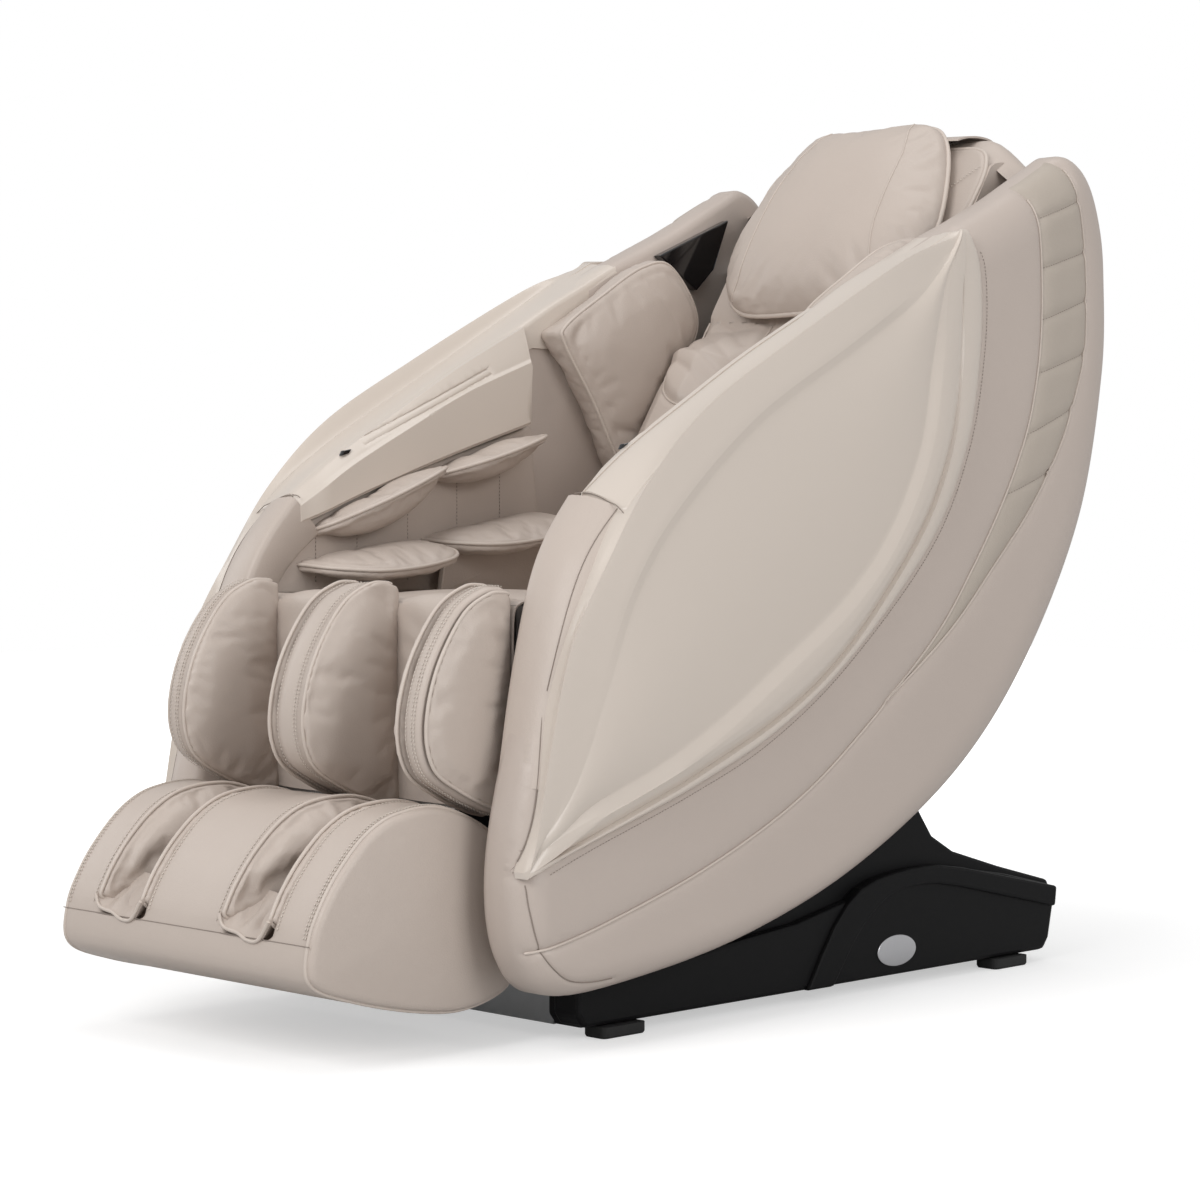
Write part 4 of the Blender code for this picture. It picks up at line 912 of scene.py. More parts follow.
def coordinates(mesh: bpy.types.Mesh) -> np.ndarray:
    """A mesh's corners, one row each."""
    flat = np.empty(len(mesh.vertices) * 3, dtype=np.float32)
    mesh.vertices.foreach_get("co", flat)
    return flat.reshape(-1, 3).astype(float)


def near_lines(points: np.ndarray, lines: Sequence[np.ndarray], reach: float) -> np.ndarray:
    """Whether each point is within reach of any of the lines."""
    near = np.zeros(len(points), dtype=bool)
    for line in lines:
        fine = evenly(line, max(int(length_of(line) / (reach * 0.7)), 2))
        for spot in fine:
            near |= ((points - spot) ** 2).sum(axis=1) < reach * reach
    return near


def side_view(u: float, v: float, height: float) -> Vector:
    """An outline drawn in the side view, height along x."""
    return at(height, u, v)


@dataclass(frozen=True)
class BackPlane:
    """The middle plane of the back pad."""

    foot: Pair = (0.500, 0.600)
    lean: float = math.radians(32.75)

    def place(self, x: float, up: float, out: float) -> Vector:
        """A point given along the back and square to it."""
        y = self.foot[0] + math.sin(self.lean) * up - math.cos(self.lean) * out
        z = self.foot[1] + math.cos(self.lean) * up + math.sin(self.lean) * out
        return at(x, y, z)

    def line(self, points: Iterable[Sequence[float]]) -> np.ndarray:
        """A line of x, up and out as points in space."""
        return np.array([tuple(self.place(*p)) for p in points])


BACK = BackPlane()


# ---- Shell: side panels and their painted leaves ----
@dataclass
class ShellLines:
    """The lines of the shell's side, in the side view."""

    outline: tuple[Pair, ...] = (
        (-0.176, 0.200), (-0.158, 0.120), (-0.108, 0.076), (0.020, 0.078), (0.240, 0.113), (0.467, 0.186),
        (0.680, 0.300), (0.838, 0.450), (0.966, 0.653), (1.022, 0.865), (1.026, 1.010), (1.014, 1.092),
        (0.982, 1.158), (0.932, 1.185), (0.880, 1.163), (0.777, 1.110), (0.700, 1.075), (0.589, 1.024),
        (0.329, 0.876), (0.120, 0.757), (0.020, 0.680), (-0.062, 0.590), (-0.126, 0.430), (-0.165, 0.300))
    leaf_top: tuple[Pair, ...] = ((-0.172, 0.234), (-0.151, 0.300), (-0.119, 0.437), (-0.064, 0.572),
                                  (0.006, 0.672), (0.122, 0.762), (0.350, 0.891), (0.560, 1.010),
                                  (0.643, 1.0535))
    leaf_low: tuple[Pair, ...] = ((-0.170, 0.226), (-0.068, 0.262), (0.110, 0.318), (0.259, 0.376),
                                  (0.412, 0.470), (0.585, 0.622), (0.668, 0.760), (0.701, 0.900), (0.700, 1.005),
                                  (0.672, 1.0580))
    inner: float = 0.290
    outer: float = 0.372
    roll: float = 0.040
    skin: float = 0.348

    def loop(self) -> np.ndarray:
        """The outline of the whole side."""
        return anticlockwise(evenly(smooth_line(self.outline, True, 30), 420, True))

    def leaf(self) -> np.ndarray:
        """The outline of the painted leaf."""
        low = evenly(smooth_line(self.leaf_low, steps=30), 190)
        top = evenly(smooth_line(self.leaf_top, steps=30), 170)
        return anticlockwise(np.vstack([low, top[::-1]]))


@dataclass
class SidePanel:
    """Upholstered side with a rolled rim, two long seams, a quilted strip and a painted crest."""

    sewing: Sewing
    lines: ShellLines = field(default_factory=ShellLines)
    long_seam: tuple[Pair, ...] = (
        (-0.157, 0.134), (-0.040, 0.159), (0.146, 0.214), (0.316, 0.286), (0.448, 0.370), (0.601, 0.490),
        (0.689, 0.590), (0.757, 0.683), (0.803, 0.764), (0.826, 0.826), (0.841, 0.898), (0.845, 0.970),
        (0.842, 1.041), (0.832, 1.097), (0.812, 1.132))
    rear_seam: tuple[Pair, ...] = (
        (0.503, 0.409), (0.638, 0.502), (0.735, 0.590), (0.820, 0.672), (0.890, 0.762), (0.930, 0.845),
        (0.948, 0.900), (0.952, 0.956), (0.949, 1.033), (0.936, 1.105), (0.918, 1.155), (0.903, 1.172))
    front_seam: tuple[Pair, ...] = ((-0.1640, 0.222), (-0.1600, 0.190), (-0.1490, 0.150), (-0.1300, 0.1195),
                                    (-0.1000, 0.0975), (-0.0600, 0.0900), (-0.0150, 0.0905))
    channels: tuple[tuple[Pair, Pair], ...] = (
        ((0.840, 1.086), (0.936, 1.119)), ((0.846, 1.015), (0.948, 1.045)), ((0.846, 0.941), (0.951, 0.975)),
        ((0.836, 0.864), (0.944, 0.897)), ((0.806, 0.774), (0.918, 0.817)), ((0.762, 0.690), (0.868, 0.726)))
    tip: Pair = (0.655, 1.058)
    crest_low: float = 0.668

    def __post_init__(self) -> None:
        """Smooths the lines once."""
        self.loop = self.lines.loop()
        self.leaf = self.lines.leaf()
        self.long = smooth_line(self.long_seam)
        self.rear = smooth_line(self.rear_seam)
        self.front = smooth_line(self.front_seam)
        self.slants = [evenly(np.array([a, b]), 20) for a, b in self.channels]
        self.top = smooth_line(self.lines.leaf_top, steps=30)

    def quilted(self, p: np.ndarray) -> np.ndarray:
        """Whether points lie in the quilted strip."""
        after_long = distance_to(p, self.long) < 0
        before_rear = distance_to(p, self.rear) > 0
        return after_long & before_rear & (p[:, 1] > 0.45) & (p[:, 0] > 0.54)

    def height(self, p: np.ndarray) -> np.ndarray:
        """How far out the side stands at points of the side view."""
        lines = self.lines
        edge = np.abs(distance_to(p, self.loop, True))
        wide = lines.roll + 0.032 * ramp(p[:, 0], 0.30, 0.85)
        t = np.clip(1 - edge / wide, 0.0, 1.0)
        x = lines.outer - lines.roll * (1 - np.sqrt(1 - t ** 2))
        long, rear, front = (np.abs(distance_to(p, line)) for line in (self.long, self.rear, self.front))
        x -= 0.0032 * bump(long, 0.0042) + 0.0015 * bump(long, 0.016)
        x -= 0.0030 * bump(rear, 0.0042) + 0.0015 * bump(rear, 0.016)
        x -= 0.0022 * bump(front, 0.0035)
        puff = self.quilted(p) * 0.0020 * ramp(np.minimum(long, rear), 0.001, 0.018)
        for slant in self.slants:
            puff -= self.quilted(p) * 0.0030 * bump(distance_to(p, slant), 0.0055)
        x += puff
        border = np.abs(distance_to(p, self.leaf, True))
        inside = within(p, self.leaf)
        low_side = distance_to(p, self.top) < 0
        x -= np.where(low_side, 0.0042, 0.0012) * bump(border, 0.0075)
        bed = np.minimum(x, self.lines.skin - 0.0012)
        deep = ramp(border, 0.0002, 0.0016) * ramp(edge, 0.0060, 0.0120)
        return np.where(inside, x + (bed - x) * deep, x)

    def painted(self, p: np.ndarray) -> np.ndarray:
        """Whether points lie on the painted crest over the arm."""
        past = (p[:, 0] - self.tip[0]) * 0.88 + (p[:, 1] - self.tip[1]) * 0.48
        over = distance_to(p, self.top) > -0.002
        return (p[:, 1] > self.crest_low) & (past < 0) & over

    def form(self) -> Form:
        """The side's mesh: its relief, its rim, its inner face and the bed under the leaf."""
        border = smooth_line(self.lines.leaf_low, steps=30)
        relief = Relief(self.loop, [self.long, self.rear, self.front, border, self.top] + self.slants)
        flat, triangles = relief.sheet()
        high = self.height(flat)
        form = Form()
        numbers = form.put(laid(flat, high))
        middles = np.array([flat[list(t)].mean(axis=0) for t in triangles])
        marks = np.where(self.painted(middles), 1, np.where(self.quilted(middles), 2, 0))
        for triangle, mark in zip(triangles, marks):
            form.face([numbers[i] for i in triangle], int(mark))
        rim = numbers[:len(self.loop)]
        levels = ((self.lines.outer - self.lines.roll - 0.012, 0.0), (self.lines.inner + 0.014, 0.0),
                  (self.lines.inner + 0.005, 0.004), (self.lines.inner, 0.014))
        rows = [rim]
        for x, depth in levels:
            rows.append(form.put(laid(moved(self.loop, depth, True), x)))
        mids = 0.5 * (self.loop + np.roll(self.loop, -1, axis=0))
        crest = self.painted(mids)
        for low, level in zip(rows, rows[1:]):
            for i in range(len(low)):
                j = (i + 1) % len(low)
                form.face((low[i], low[j], level[j], level[i]), int(crest[i]))
        form.face(rows[-1])
        return form

    def raised(self, line: np.ndarray, proud: float = 0.0, count: int = 0) -> np.ndarray:
        """A line of the side view laid on the surface."""
        even = evenly(line, count or max(int(length_of(line) / 0.004), 8))
        return drawn(even, self.height(even) + proud)

    def leaf_seam(self) -> np.ndarray:
        """The seam along the front of the leaf, just outside its edge."""
        front = evenly(self.top[(self.top[:, 1] > 0.246) & (self.top[:, 1] < 0.560)], 140)
        line = moved(front, 0.0014)
        if within(line[60:80], self.leaf).any():
            line = moved(front, -0.0014)
        return self.raised(line, 0.0012)

    def dress(self) -> None:
        """Makes both sides with their piping and stitches."""
        both_hands(self.form(), "side_cover", (SIDE_LEATHER, PAINT, QUILT_LEATHER), "chair_body", ("side_panel",))
        cords = [self.raised(part_of(self.long, 0.0, 0.985, 300), 0.0010),
                 self.raised(part_of(self.rear, 0.0, 0.985, 260), 0.0008)]
        edges = [self.raised(part_of(self.front, 0.02, 0.98, 160), 0.0006), self.leaf_seam()]
        low = smooth_line(self.lines.leaf_low, steps=30)
        seams = [self.raised(moved(part_of(low, 0.03, 0.97, 220), -0.0095), 0.0004)]
        quilting = [self.raised(part_of(s, 0.04, 0.96, 24), 0.0002) for s in self.slants]
        for hand, turn in HANDS:
            self.sewing.piping("side_piping_" + hand, turn(cords), 0.0019, "chair_body")
            # The leaf's seam cords, the stitches along its low border and the quilting stitches are painted seam
            # shade.
            self.sewing.piping("side_seam_" + hand, turn(edges), 0.0008, "chair_body", finish=SEAM_SHADE_THREAD)
            self.sewing.stitches("side_stitches_" + hand, turn(seams), "chair_body", finish=SEAM_SHADE_THREAD,
                                 radius=0.00045)
            self.sewing.stitches("quilt_stitches_" + hand, turn(quilting), "chair_body", finish=SEAM_SHADE_THREAD)
        LOG.info("side panels: two covers, piping and stitches")


@dataclass
class LeafPanel:
    """Painted skin: a crease along its front and top, a sunk inner leaf, and a raised band on its low side."""

    lines: ShellLines = field(default_factory=ShellLines)
    crease: tuple[Pair, ...] = ((-0.168, 0.238), (-0.157, 0.277), (-0.134, 0.391), (-0.102, 0.506),
                                (-0.040, 0.607), (0.033, 0.707), (0.137, 0.800), (0.297, 0.890), (0.516, 1.002),
                                (0.604, 1.035), (0.636, 1.046), (0.648, 1.0550))
    sunk_top: tuple[Pair, ...] = ((-0.152, 0.264), (-0.128, 0.296), (-0.108, 0.332), (-0.085, 0.391),
                                  (-0.060, 0.453), (-0.001, 0.575), (0.081, 0.674), (0.223, 0.788),
                                  (0.389, 0.878), (0.500, 0.938), (0.568, 0.978), (0.618, 1.016),
                                  (0.6525, 1.0578))
    sunk_low: tuple[Pair, ...] = ((-0.148, 0.258), (-0.108, 0.284), (-0.060, 0.312), (0.040, 0.352),
                                  (0.150, 0.405), (0.268, 0.475), (0.390, 0.552), (0.477, 0.635), (0.542, 0.743),
                                  (0.574, 0.864), (0.592, 0.935), (0.612, 0.988), (0.634, 1.024),
                                  (0.6550, 1.0580))
    groove: tuple[Pair, ...] = ((-0.168, 0.2335), (-0.034, 0.283), (0.124, 0.341), (0.269, 0.402), (0.376, 0.466),
                                (0.470, 0.548), (0.565, 0.655), (0.618, 0.760), (0.642, 0.870), (0.650, 0.960),
                                (0.6545, 1.020), (0.657, 1.0585))
    swell: float = 0.028
    stations: int = 240

    def shares(self) -> np.ndarray:
        """Shares of the length at which the skin has stations, closer together at the rear end."""
        t = np.linspace(0.0, 1.0, self.stations)
        return t + 0.10 * t * (1 - t) * (2 * t)

    def stretched(self, line: np.ndarray) -> np.ndarray:
        """The line with a point at each of the shares."""
        wanted = self.shares() * (len(line) - 1)
        spots = np.arange(len(line))
        return np.stack([np.interp(wanted, spots, line[:, k]) for k in range(2)], axis=1)

    def form(self) -> Form:
        """The skin's mesh, a strip loft between its lines."""
        count = self.stations
        top, low, crease, sunk_top, sunk_low, groove = (
            self.stretched(evenly(smooth_line(line, steps=40), 2 * count)) for line in (
                self.lines.leaf_top, self.lines.leaf_low, self.crease, self.sunk_top, self.sunk_low, self.groove))
        share = self.shares()
        grow = self.swell * np.minimum(1.0, 5.0 * share) ** 0.7 \
            * (1 - 0.66 * ramp(share, 0.74, 1.0)) * (1 - np.clip((share - 0.975) / 0.025, 0, 1) ** 2) ** 0.5
        sink = 0.0045 * ramp(share, 0.015, 0.07) * (1 - ramp(share, 0.80, 0.905))
        soft = 0.0045 * ramp(share, 0.14, 0.34) * (1 - ramp(share, 0.80, 0.905))
        step = 0.0085 * ramp(share, 0.0, 0.04) * (1 - 0.80 * ramp(share, 0.66, 0.95))

        def between(a: np.ndarray, b: np.ndarray, t: float) -> np.ndarray:
            return a * (1 - t) + b * t

        def offset(line: np.ndarray, way: float) -> np.ndarray:
            near = ramp(share, 0.0, 0.12) * (1 - ramp(share, 0.84, 0.98))
            return line + (moved(line, way) - line) * near[:, None]

        out = self.lines.outer
        keys: list[tuple[np.ndarray, np.ndarray]] = [
            (top, np.full(count, out - 0.0075)),
            (between(top, crease, 0.12), out - 0.0058 + 0.05 * grow),
            (between(top, crease, 0.88), out + 0.13 * grow),
            (crease, out + 0.0010 + 0.16 * grow),
            (between(crease, sunk_top, 0.12), out + 0.0012 + 0.20 * grow),
            (offset(sunk_top, 0.0015), out + 0.48 * grow),
            (sunk_top, out + 0.49 * grow - 0.1 * soft),
            (offset(sunk_top, -0.0105), out + 0.53 * grow - 0.92 * soft),
            (offset(sunk_top, -0.0125), out + 0.54 * grow - soft),
        ]
        a, b = offset(sunk_top, -0.0125), offset(sunk_low, 0.0010)
        for t in np.linspace(0.05, 0.95, 19):
            crown = math.sin(math.pi * t) ** 0.9
            keys.append((between(a, b, float(t)),
                         out + (0.54 * (1 - t) + 0.78 * t + 0.26 * crown) * grow
                         - soft * (1 - t) - sink * t))
        keys += [
            (b, out + 0.78 * grow - sink),
            (offset(sunk_low, -0.0010), out + 0.785 * grow - 0.9 * sink),
            (offset(sunk_low, -0.0165), out + 0.86 * grow - 0.08 * sink),
            (offset(sunk_low, -0.0185), out + 0.86 * grow),
            (between(offset(sunk_low, -0.0185), offset(groove, 0.0180), 0.5), out + 0.87 * grow),
            (offset(groove, 0.0180), out + 0.80 * grow),
            (offset(groove, 0.0160), out + 0.79 * grow - 0.06 * step),
            (offset(groove, 0.0015), out + 0.70 * grow - 0.95 * step),
            (groove, out + 0.66 * grow - step),
            (offset(groove, -0.0010), out + 0.66 * grow - 0.75 * step),
            (offset(groove, -0.0030), out + 0.67 * grow - 0.35 * step),
            (between(offset(groove, -0.003), low, 0.25), out + 0.66 * grow - 0.22 * step),
            (between(offset(groove, -0.003), low, 0.50), out + 0.60 * grow - 0.20 * step),
            (between(offset(groove, -0.003), low, 0.75), out + 0.46 * grow - 0.25 * step),
            (between(offset(groove, -0.003), low, 0.93), out + 0.22 * grow - 0.0010),
            (low, out - 0.0025 + 0.06 * grow),
        ]
        flat, high = [keys[0][0]], [keys[0][1]]
        for (p, x), (q, y) in zip(keys, keys[1:]):
            gap = float(np.linalg.norm(q - p, axis=1).max())
            parts = max(1, min(int(gap / 0.0060), 4))
            for k in range(1, parts + 1):
                flat.append(between(p, q, k / parts))
                high.append(x * (1 - k / parts) + y * k / parts)
        form = Form()
        back = self.lines.skin + 0.0004
        return form.shell([form.put(laid(line, x)) for line, x in zip([top, *flat, low], [back, *high, back])])

    def dress(self) -> None:
        """Makes both skins."""
        both_hands(self.form(), "leaf_skin", (PAINT,), "chair_body", ("leaf_panel",), Slot.PAINT, 35.0)
        LOG.info("leaf panels: two painted skins")


# ---- Arms ----
@dataclass
class ArmCover:
    """Painted cover of the arm's inner side with its long slot and its port."""

    low: tuple[Pair, ...] = ((0.000, 0.648), (0.082, 0.680), (0.151, 0.705), (0.269, 0.745), (0.437, 0.797))
    step: tuple[Pair, ...] = ((0.000, 0.676), (0.082, 0.730), (0.202, 0.792), (0.305, 0.842), (0.437, 0.892))
    crest: tuple[Pair, ...] = ((0.000, 0.690), (0.082, 0.748), (0.202, 0.818), (0.305, 0.876), (0.437, 0.942))
    face: float = 0.260
    back: float = 0.2897
    slot: tuple[Pair, Pair] = ((0.120, 0.7655), (0.356, 0.8720))
    slot_half: float = 0.0046
    port: Pair = (0.088, 0.7475)

    def form(self) -> Form:
        """The cover's mesh."""
        low, step, crest = (smooth_line(line, steps=30) for line in (self.low, self.step, self.crest))
        loop = anticlockwise(np.vstack([evenly(low, 110), evenly(crest, 110)[::-1]]))
        slot = np.array([self.slot[0], self.slot[1]])
        relief = Relief(loop, [step, slot], 0.008, rim=(0.0008, 0.0022, 0.0045),
                        offsets=(0.0, 0.0016, -0.0016, 0.0031, -0.0031, 0.0038, -0.0038, 0.0046, -0.0046, 0.0054,
                                 -0.0054, 0.0062, -0.0062, 0.0080, -0.0080), margin=0.0095)
        flat, triangles = relief.sheet()
        above = distance_to(flat, step)
        up = np.clip(distance_to(flat, step), 0, None)
        room = up + np.abs(distance_to(flat, crest))
        slope = up / np.maximum(room, 1e-4)
        x = self.face + 0.0060 * ramp(above, -0.0020, 0.0025) + 0.015 * slope ** 1.3
        edge = np.abs(distance_to(flat, low))
        x += 0.005 * (1 - ramp(edge, 0.0, 0.005))
        groove = np.abs(distance_to(flat, slot))
        x += 0.0026 * bump(groove - self.slot_half, 0.0013)
        x += 0.0008 * (1 - ramp(groove, self.slot_half - 0.0020, self.slot_half))
        x = np.minimum(x + 0.0088 * (1 - ramp(flat[:, 0], -0.002, 0.050)), self.back - 0.0012)
        form = Form()
        numbers = form.put(laid(flat, x))
        for triangle in triangles:
            form.face([numbers[i] for i in triangle])
        rim = numbers[:len(loop)]
        behind = form.put(laid(loop, self.back))
        form.skin([rim, behind])
        form.face(behind)
        return form

    def port_form(self) -> Form:
        """The small dark port ahead of the slot."""
        y, z = self.port
        outline = np.array([(y - 0.009, z - 0.0020), (y + 0.004, z + 0.0005), (y + 0.009, z + 0.0075),
                            (y - 0.005, z + 0.0050)])
        pad = Pad(smooth_line(evenly(outline, 16, True), True, 2), self.face + 0.0134, self.face + 0.022, (0.0, 0.0),
                  0.0008, side_view, 40)
        return pad.form()

    def dress(self) -> None:
        """Makes both covers."""
        both_hands(self.form(), "arm_skin", (PAINT,), "chair_body", ("arm_cover",), Slot.PAINT, 40.0)
        both_hands(self.port_form(), "arm_port", (SPEAKER,), "chair_body", (), Slot.BLACK)
        LOG.info("arm covers: two painted covers with ports")


@dataclass
class ArmTop:
    """Painted top of the arm from the cover's crest to the painted leaf, its leather nose and the lined wall."""

    sewing: Sewing
    lines: ShellLines = field(default_factory=ShellLines)
    cover: ArmCover = field(default_factory=ArmCover)
    seam: list[tuple[float, ...]] = field(default_factory=list)

    @staticmethod
    def lofted(rings: Sequence[Sequence[Vector]]) -> Form:
        """A closed form through rings of the same length, one ring a station."""
        form = Form()
        rows: list[list[int]] = [[] for _ in rings[0]]
        for ring in rings:
            for row, spot in zip(rows, form.put(ring)):
                row.append(spot)
        return form.shell(rows)

    def cap(self) -> Form:
        """The painted roof over the side, from the front seam to the rear tip."""
        top = evenly(smooth_line(self.lines.leaf_top, steps=30), 800)
        top = evenly(top[top[:, 1] > 0.669], 130)
        crest = smooth_line(self.cover.crest, steps=30)
        ridge = self.lines.loop()
        ridge = ridge[(ridge[:, 0] > -0.05) & (ridge[:, 0] < 0.9) & (ridge[:, 1] > 0.60 + 0.35 * ridge[:, 0])]
        ridge = ridge[np.argsort(ridge[:, 0])]
        rings = []
        for y, z in top:
            on_arm = float(1 - ramp(np.array([y]), 0.37, 0.52)[0])
            tip = float(ramp(np.array([y]), 0.480, 0.640)[0])
            crest_z = float(np.interp(y, crest[:, 0], crest[:, 1]))
            rise = 0.004 * (1 - tip) - 0.001 * tip
            peak = z + rise + (max(crest_z, z + rise) - z - rise) * on_arm
            peak += (float(np.interp(y, ridge[:, 0], ridge[:, 1])) - 0.0025 - peak) * tip
            foot = min(crest_z - 0.030, z - 0.040)
            inner = 0.2858 + 0.006 * tip
            rings.append([at(x, y, h) for x, h in (
                (0.340, z - 0.044), (0.3600, z - 0.016), (0.3655, z - 0.0022), (0.3642, z + 0.0006),
                (0.3600, z + 0.55 * rise), (0.350, z + rise), (0.338, 0.35 * peak + 0.65 * (z + rise)),
                (0.322, 0.65 * peak + 0.35 * (z + rise)), (0.306, 0.90 * peak + 0.10 * (z + rise)),
                (inner + 0.011, peak), (inner + 0.005, peak - 0.0010), (inner + 0.0012, peak - 0.0040),
                (inner, peak - 0.010), (inner, foot), (0.300, foot))])
        return self.lofted(rings)

    def nose(self) -> Form:
        """The leather that carries the arm's section on down the side's front edge."""
        loop = self.lines.loop()
        front = loop[(loop[:, 0] < 0.008) & (loop[:, 1] > 0.33) & (loop[:, 1] < 0.690)]
        front = evenly(front[np.argsort(-front[:, 1])], 70)
        rings = []
        for i, spot in enumerate(front):
            t = i / (len(front) - 1)
            way = front[min(i + 1, len(front) - 1)] - front[max(i - 1, 0)]
            way /= np.linalg.norm(way)
            out = np.array([way[1], -way[0]])
            rise = 0.0235 * (1 - t) ** 1.6 + 0.0008 - 0.0060 * float(ramp(np.array([t]), 0.62, 1.0)[0])
            inner = 0.2695 + 0.0211 * t ** 1.1
            deep = 0.040 - 0.020 * t
            ring = ((0.3560, -0.0260), (0.3640, -0.0160), (0.3636, -0.0135 + 0.06 * rise),
                    (0.3580, -0.0085 + 0.15 * rise), (0.3490, -0.0032 + 0.28 * rise), (0.3380, 0.0006 + 0.45 * rise),
                    (0.3220, 0.0012 + 0.72 * rise), (0.3060, 0.0012 + 0.92 * rise), (inner + 0.0110, 0.0012 + rise),
                    (inner + 0.0050, rise), (inner + 0.0013, rise - 0.003), (inner, rise - 0.009), (inner, -deep),
                    (inner + 0.003, -deep - 0.003), (0.3000, -deep - 0.003))
            rings.append([at(x, *(float(v) for v in spot + out * depth)) for x, depth in ring])
        self.seam = [tuple(ring[4] + Vector((0.0, -0.0004, 0.0004))) for ring in rings[:48]]
        return self.lofted(rings)

    def dress(self) -> None:
        """Makes the caps, noses and lined walls."""
        both_hands(self.cap(), "arm_top", (PAINT,), "chair_body", (), Slot.PAINT, 50.0)
        both_hands(self.nose(), "arm_nose", (LEATHER,), "chair_body")
        outline = np.array([(-0.060, 0.552), (0.455, 0.552), (0.470, 0.640), (0.452, 0.795), (0.269, 0.742),
                            (0.080, 0.678), (0.006, 0.646), (-0.040, 0.590)])
        wall = Pad(smooth_line(evenly(outline, 60, True), True, 4), 0.2800, 0.2897, (0.0015, 0.0), 0.004, side_view,
                   200)
        both_hands(wall.form(), "arm_lining", (LEATHER,), "chair_body")
        seams = [np.array([tuple(at(0.2783, y, z)) for z in np.linspace(low, high, 40)])
                 for y, low, high in ((0.035, 0.57, 0.64), (0.110, 0.57, 0.665), (0.205, 0.57, 0.70),
                                      (0.300, 0.57, 0.735), (0.385, 0.57, 0.76))]
        joint = np.array([tuple(at(x, y, z)) for x, y, z in (
            (0.3648, -0.0010, 0.6640), (0.3500, 0.0000, 0.6745), (0.3380, 0.0004, 0.6780), (0.3220, 0.0010, 0.6840),
            (0.3060, 0.0012, 0.6885), (0.2900, 0.0012, 0.6900), (0.2770, 0.0012, 0.6892), (0.2705, 0.0010, 0.6860))])
        skirt = Pad(smooth_line(evenly(np.array([(0.235, 0.548), (0.430, 0.548), (0.455, 0.640), (0.330, 0.628),
                                                 (0.245, 0.606)]), 60, True), True, 3), 0.244, 0.254, (0.004, 0.0),
                    0.005, side_view, 120)
        both_hands(skirt.form(), "arm_skirt", (LEATHER,), "chair_body")
        for hand, turn in HANDS:
            # The lining stitches, the arm joint cord and the nose seam cord are painted seam shade.
            self.sewing.stitches("arm_lining_stitches_" + hand, turn(seams), "chair_body", finish=SEAM_SHADE_THREAD)
            self.sewing.piping("arm_joint_" + hand, turn([smooth_line(joint, steps=6)]), 0.0007, "chair_body",
                               finish=SEAM_SHADE_THREAD)
            self.sewing.piping("nose_seam_" + hand, turn([np.array(self.seam)]), 0.0006, "chair_body",
                               finish=SEAM_SHADE_THREAD)
            self.sewing.piping("skirt_piping_" + hand, turn([skirt.edge_line(0.1, 0.0)]), 0.0020, "chair_body", True)
        LOG.info("arm tops: painted caps, leather noses and lined walls")


@dataclass
class ArmPad:
    """One air pad: its name, its stretch along the arm, height, slope, inner side, thickness, how far its rear is
    drawn out, how far its inner side hangs and how far its belly sags."""

    name: str
    front: float
    rear: float
    low: float
    slope: float
    inner: float
    thick: float
    nose: float
    hang: float
    sag: float


@dataclass
class ArmPads:
    """Four piped air pads in each arm."""

    sewing: Sewing
    outer: float = 0.2897
    pads: tuple[ArmPad, ...] = (
        ArmPad("upper_front", 0.030, 0.235, 0.6430, 0.390, 0.2050, 0.024, 0.55, -0.016, 0.026),
        ArmPad("upper_rear", 0.245, 0.430, 0.7200, 0.300, 0.2050, 0.022, 0.35, -0.010, 0.018),
        ArmPad("lower_front", 0.006, 0.225, 0.5950, 0.130, 0.1650, 0.024, 0.45, 0.016, 0.008),
        ArmPad("lower_rear", 0.235, 0.460, 0.6280, 0.160, 0.1650, 0.024, 0.30, 0.016, 0.010))

    def outline(self, pad: ArmPad) -> np.ndarray:
        """A plan that is straight at the wall, blunt in front and drawn out at the rear of its inner side."""
        reach, long = self.outer - pad.inner, pad.rear - pad.front
        points = [(self.outer, pad.front + 0.04 * long), (self.outer, pad.front + 0.5 * long),
                  (self.outer, pad.rear - 0.01 * long), (self.outer - 0.40 * reach, pad.rear),
                  (self.outer - 0.78 * reach, pad.rear - 0.02 * long),
                  (pad.inner + 0.02 * reach, pad.rear - (0.10 + 0.10 * pad.nose) * long),
                  (pad.inner, pad.front + 0.55 * long), (pad.inner + 0.12 * reach, pad.front + 0.25 * long),
                  (pad.inner + 0.45 * reach, pad.front + 0.05 * long), (self.outer - 0.20 * reach, pad.front)]
        return smooth_line(points, True, 10)

    def place(self, pad: ArmPad) -> Place:
        """How the pad lies: it climbs along the arm, hangs at its inner side and sags between its ends."""
        def put(x: float, y: float, height: float) -> Vector:
            across = max((self.outer - x) / (self.outer - pad.inner), 0.0)
            along = (y - pad.front) / (pad.rear - pad.front)
            hang = pad.hang * across ** 1.6 + 0.004 * math.sin(math.pi * min(max(along, 0.0), 1.0)) * across
            return at(x, y, pad.low + height + pad.slope * (y - pad.front) - hang)
        return put

    def dress(self) -> None:
        """Makes the eight pads with their piping."""
        for pad in self.pads:
            shape = Pad(self.outline(pad), -0.5 * pad.thick - 0.002, 0.5 * pad.thick - 0.008,
                        (pad.sag, 0.0075), 0.009, self.place(pad), 140)
            edge = shape.edge_line(0.70, 0.0008)
            form = shape.form()
            for hand, made, lines in (("left", form, [edge]), ("right", form.mirrored(), mirror_lines([edge]))):
                obj = made.piece("arm_cushion_{}_{}".format(pad.name, hand), (LEATHER,))
                Swelling(0.0045, 3.0, 0.007, 0.005, slack=0.03).apply(obj, lines)
                settle(obj, "chair_body", Slot.LEATHER, ["arm_pad_{}_{}".format(pad.name, hand)])
                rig.padded(obj, 0.35)
                self.sewing.piping("arm_piping_{}_{}".format(pad.name, hand), lines, 0.0028, "chair_body", True)
        LOG.info("arm pads: eight cushions with piping")


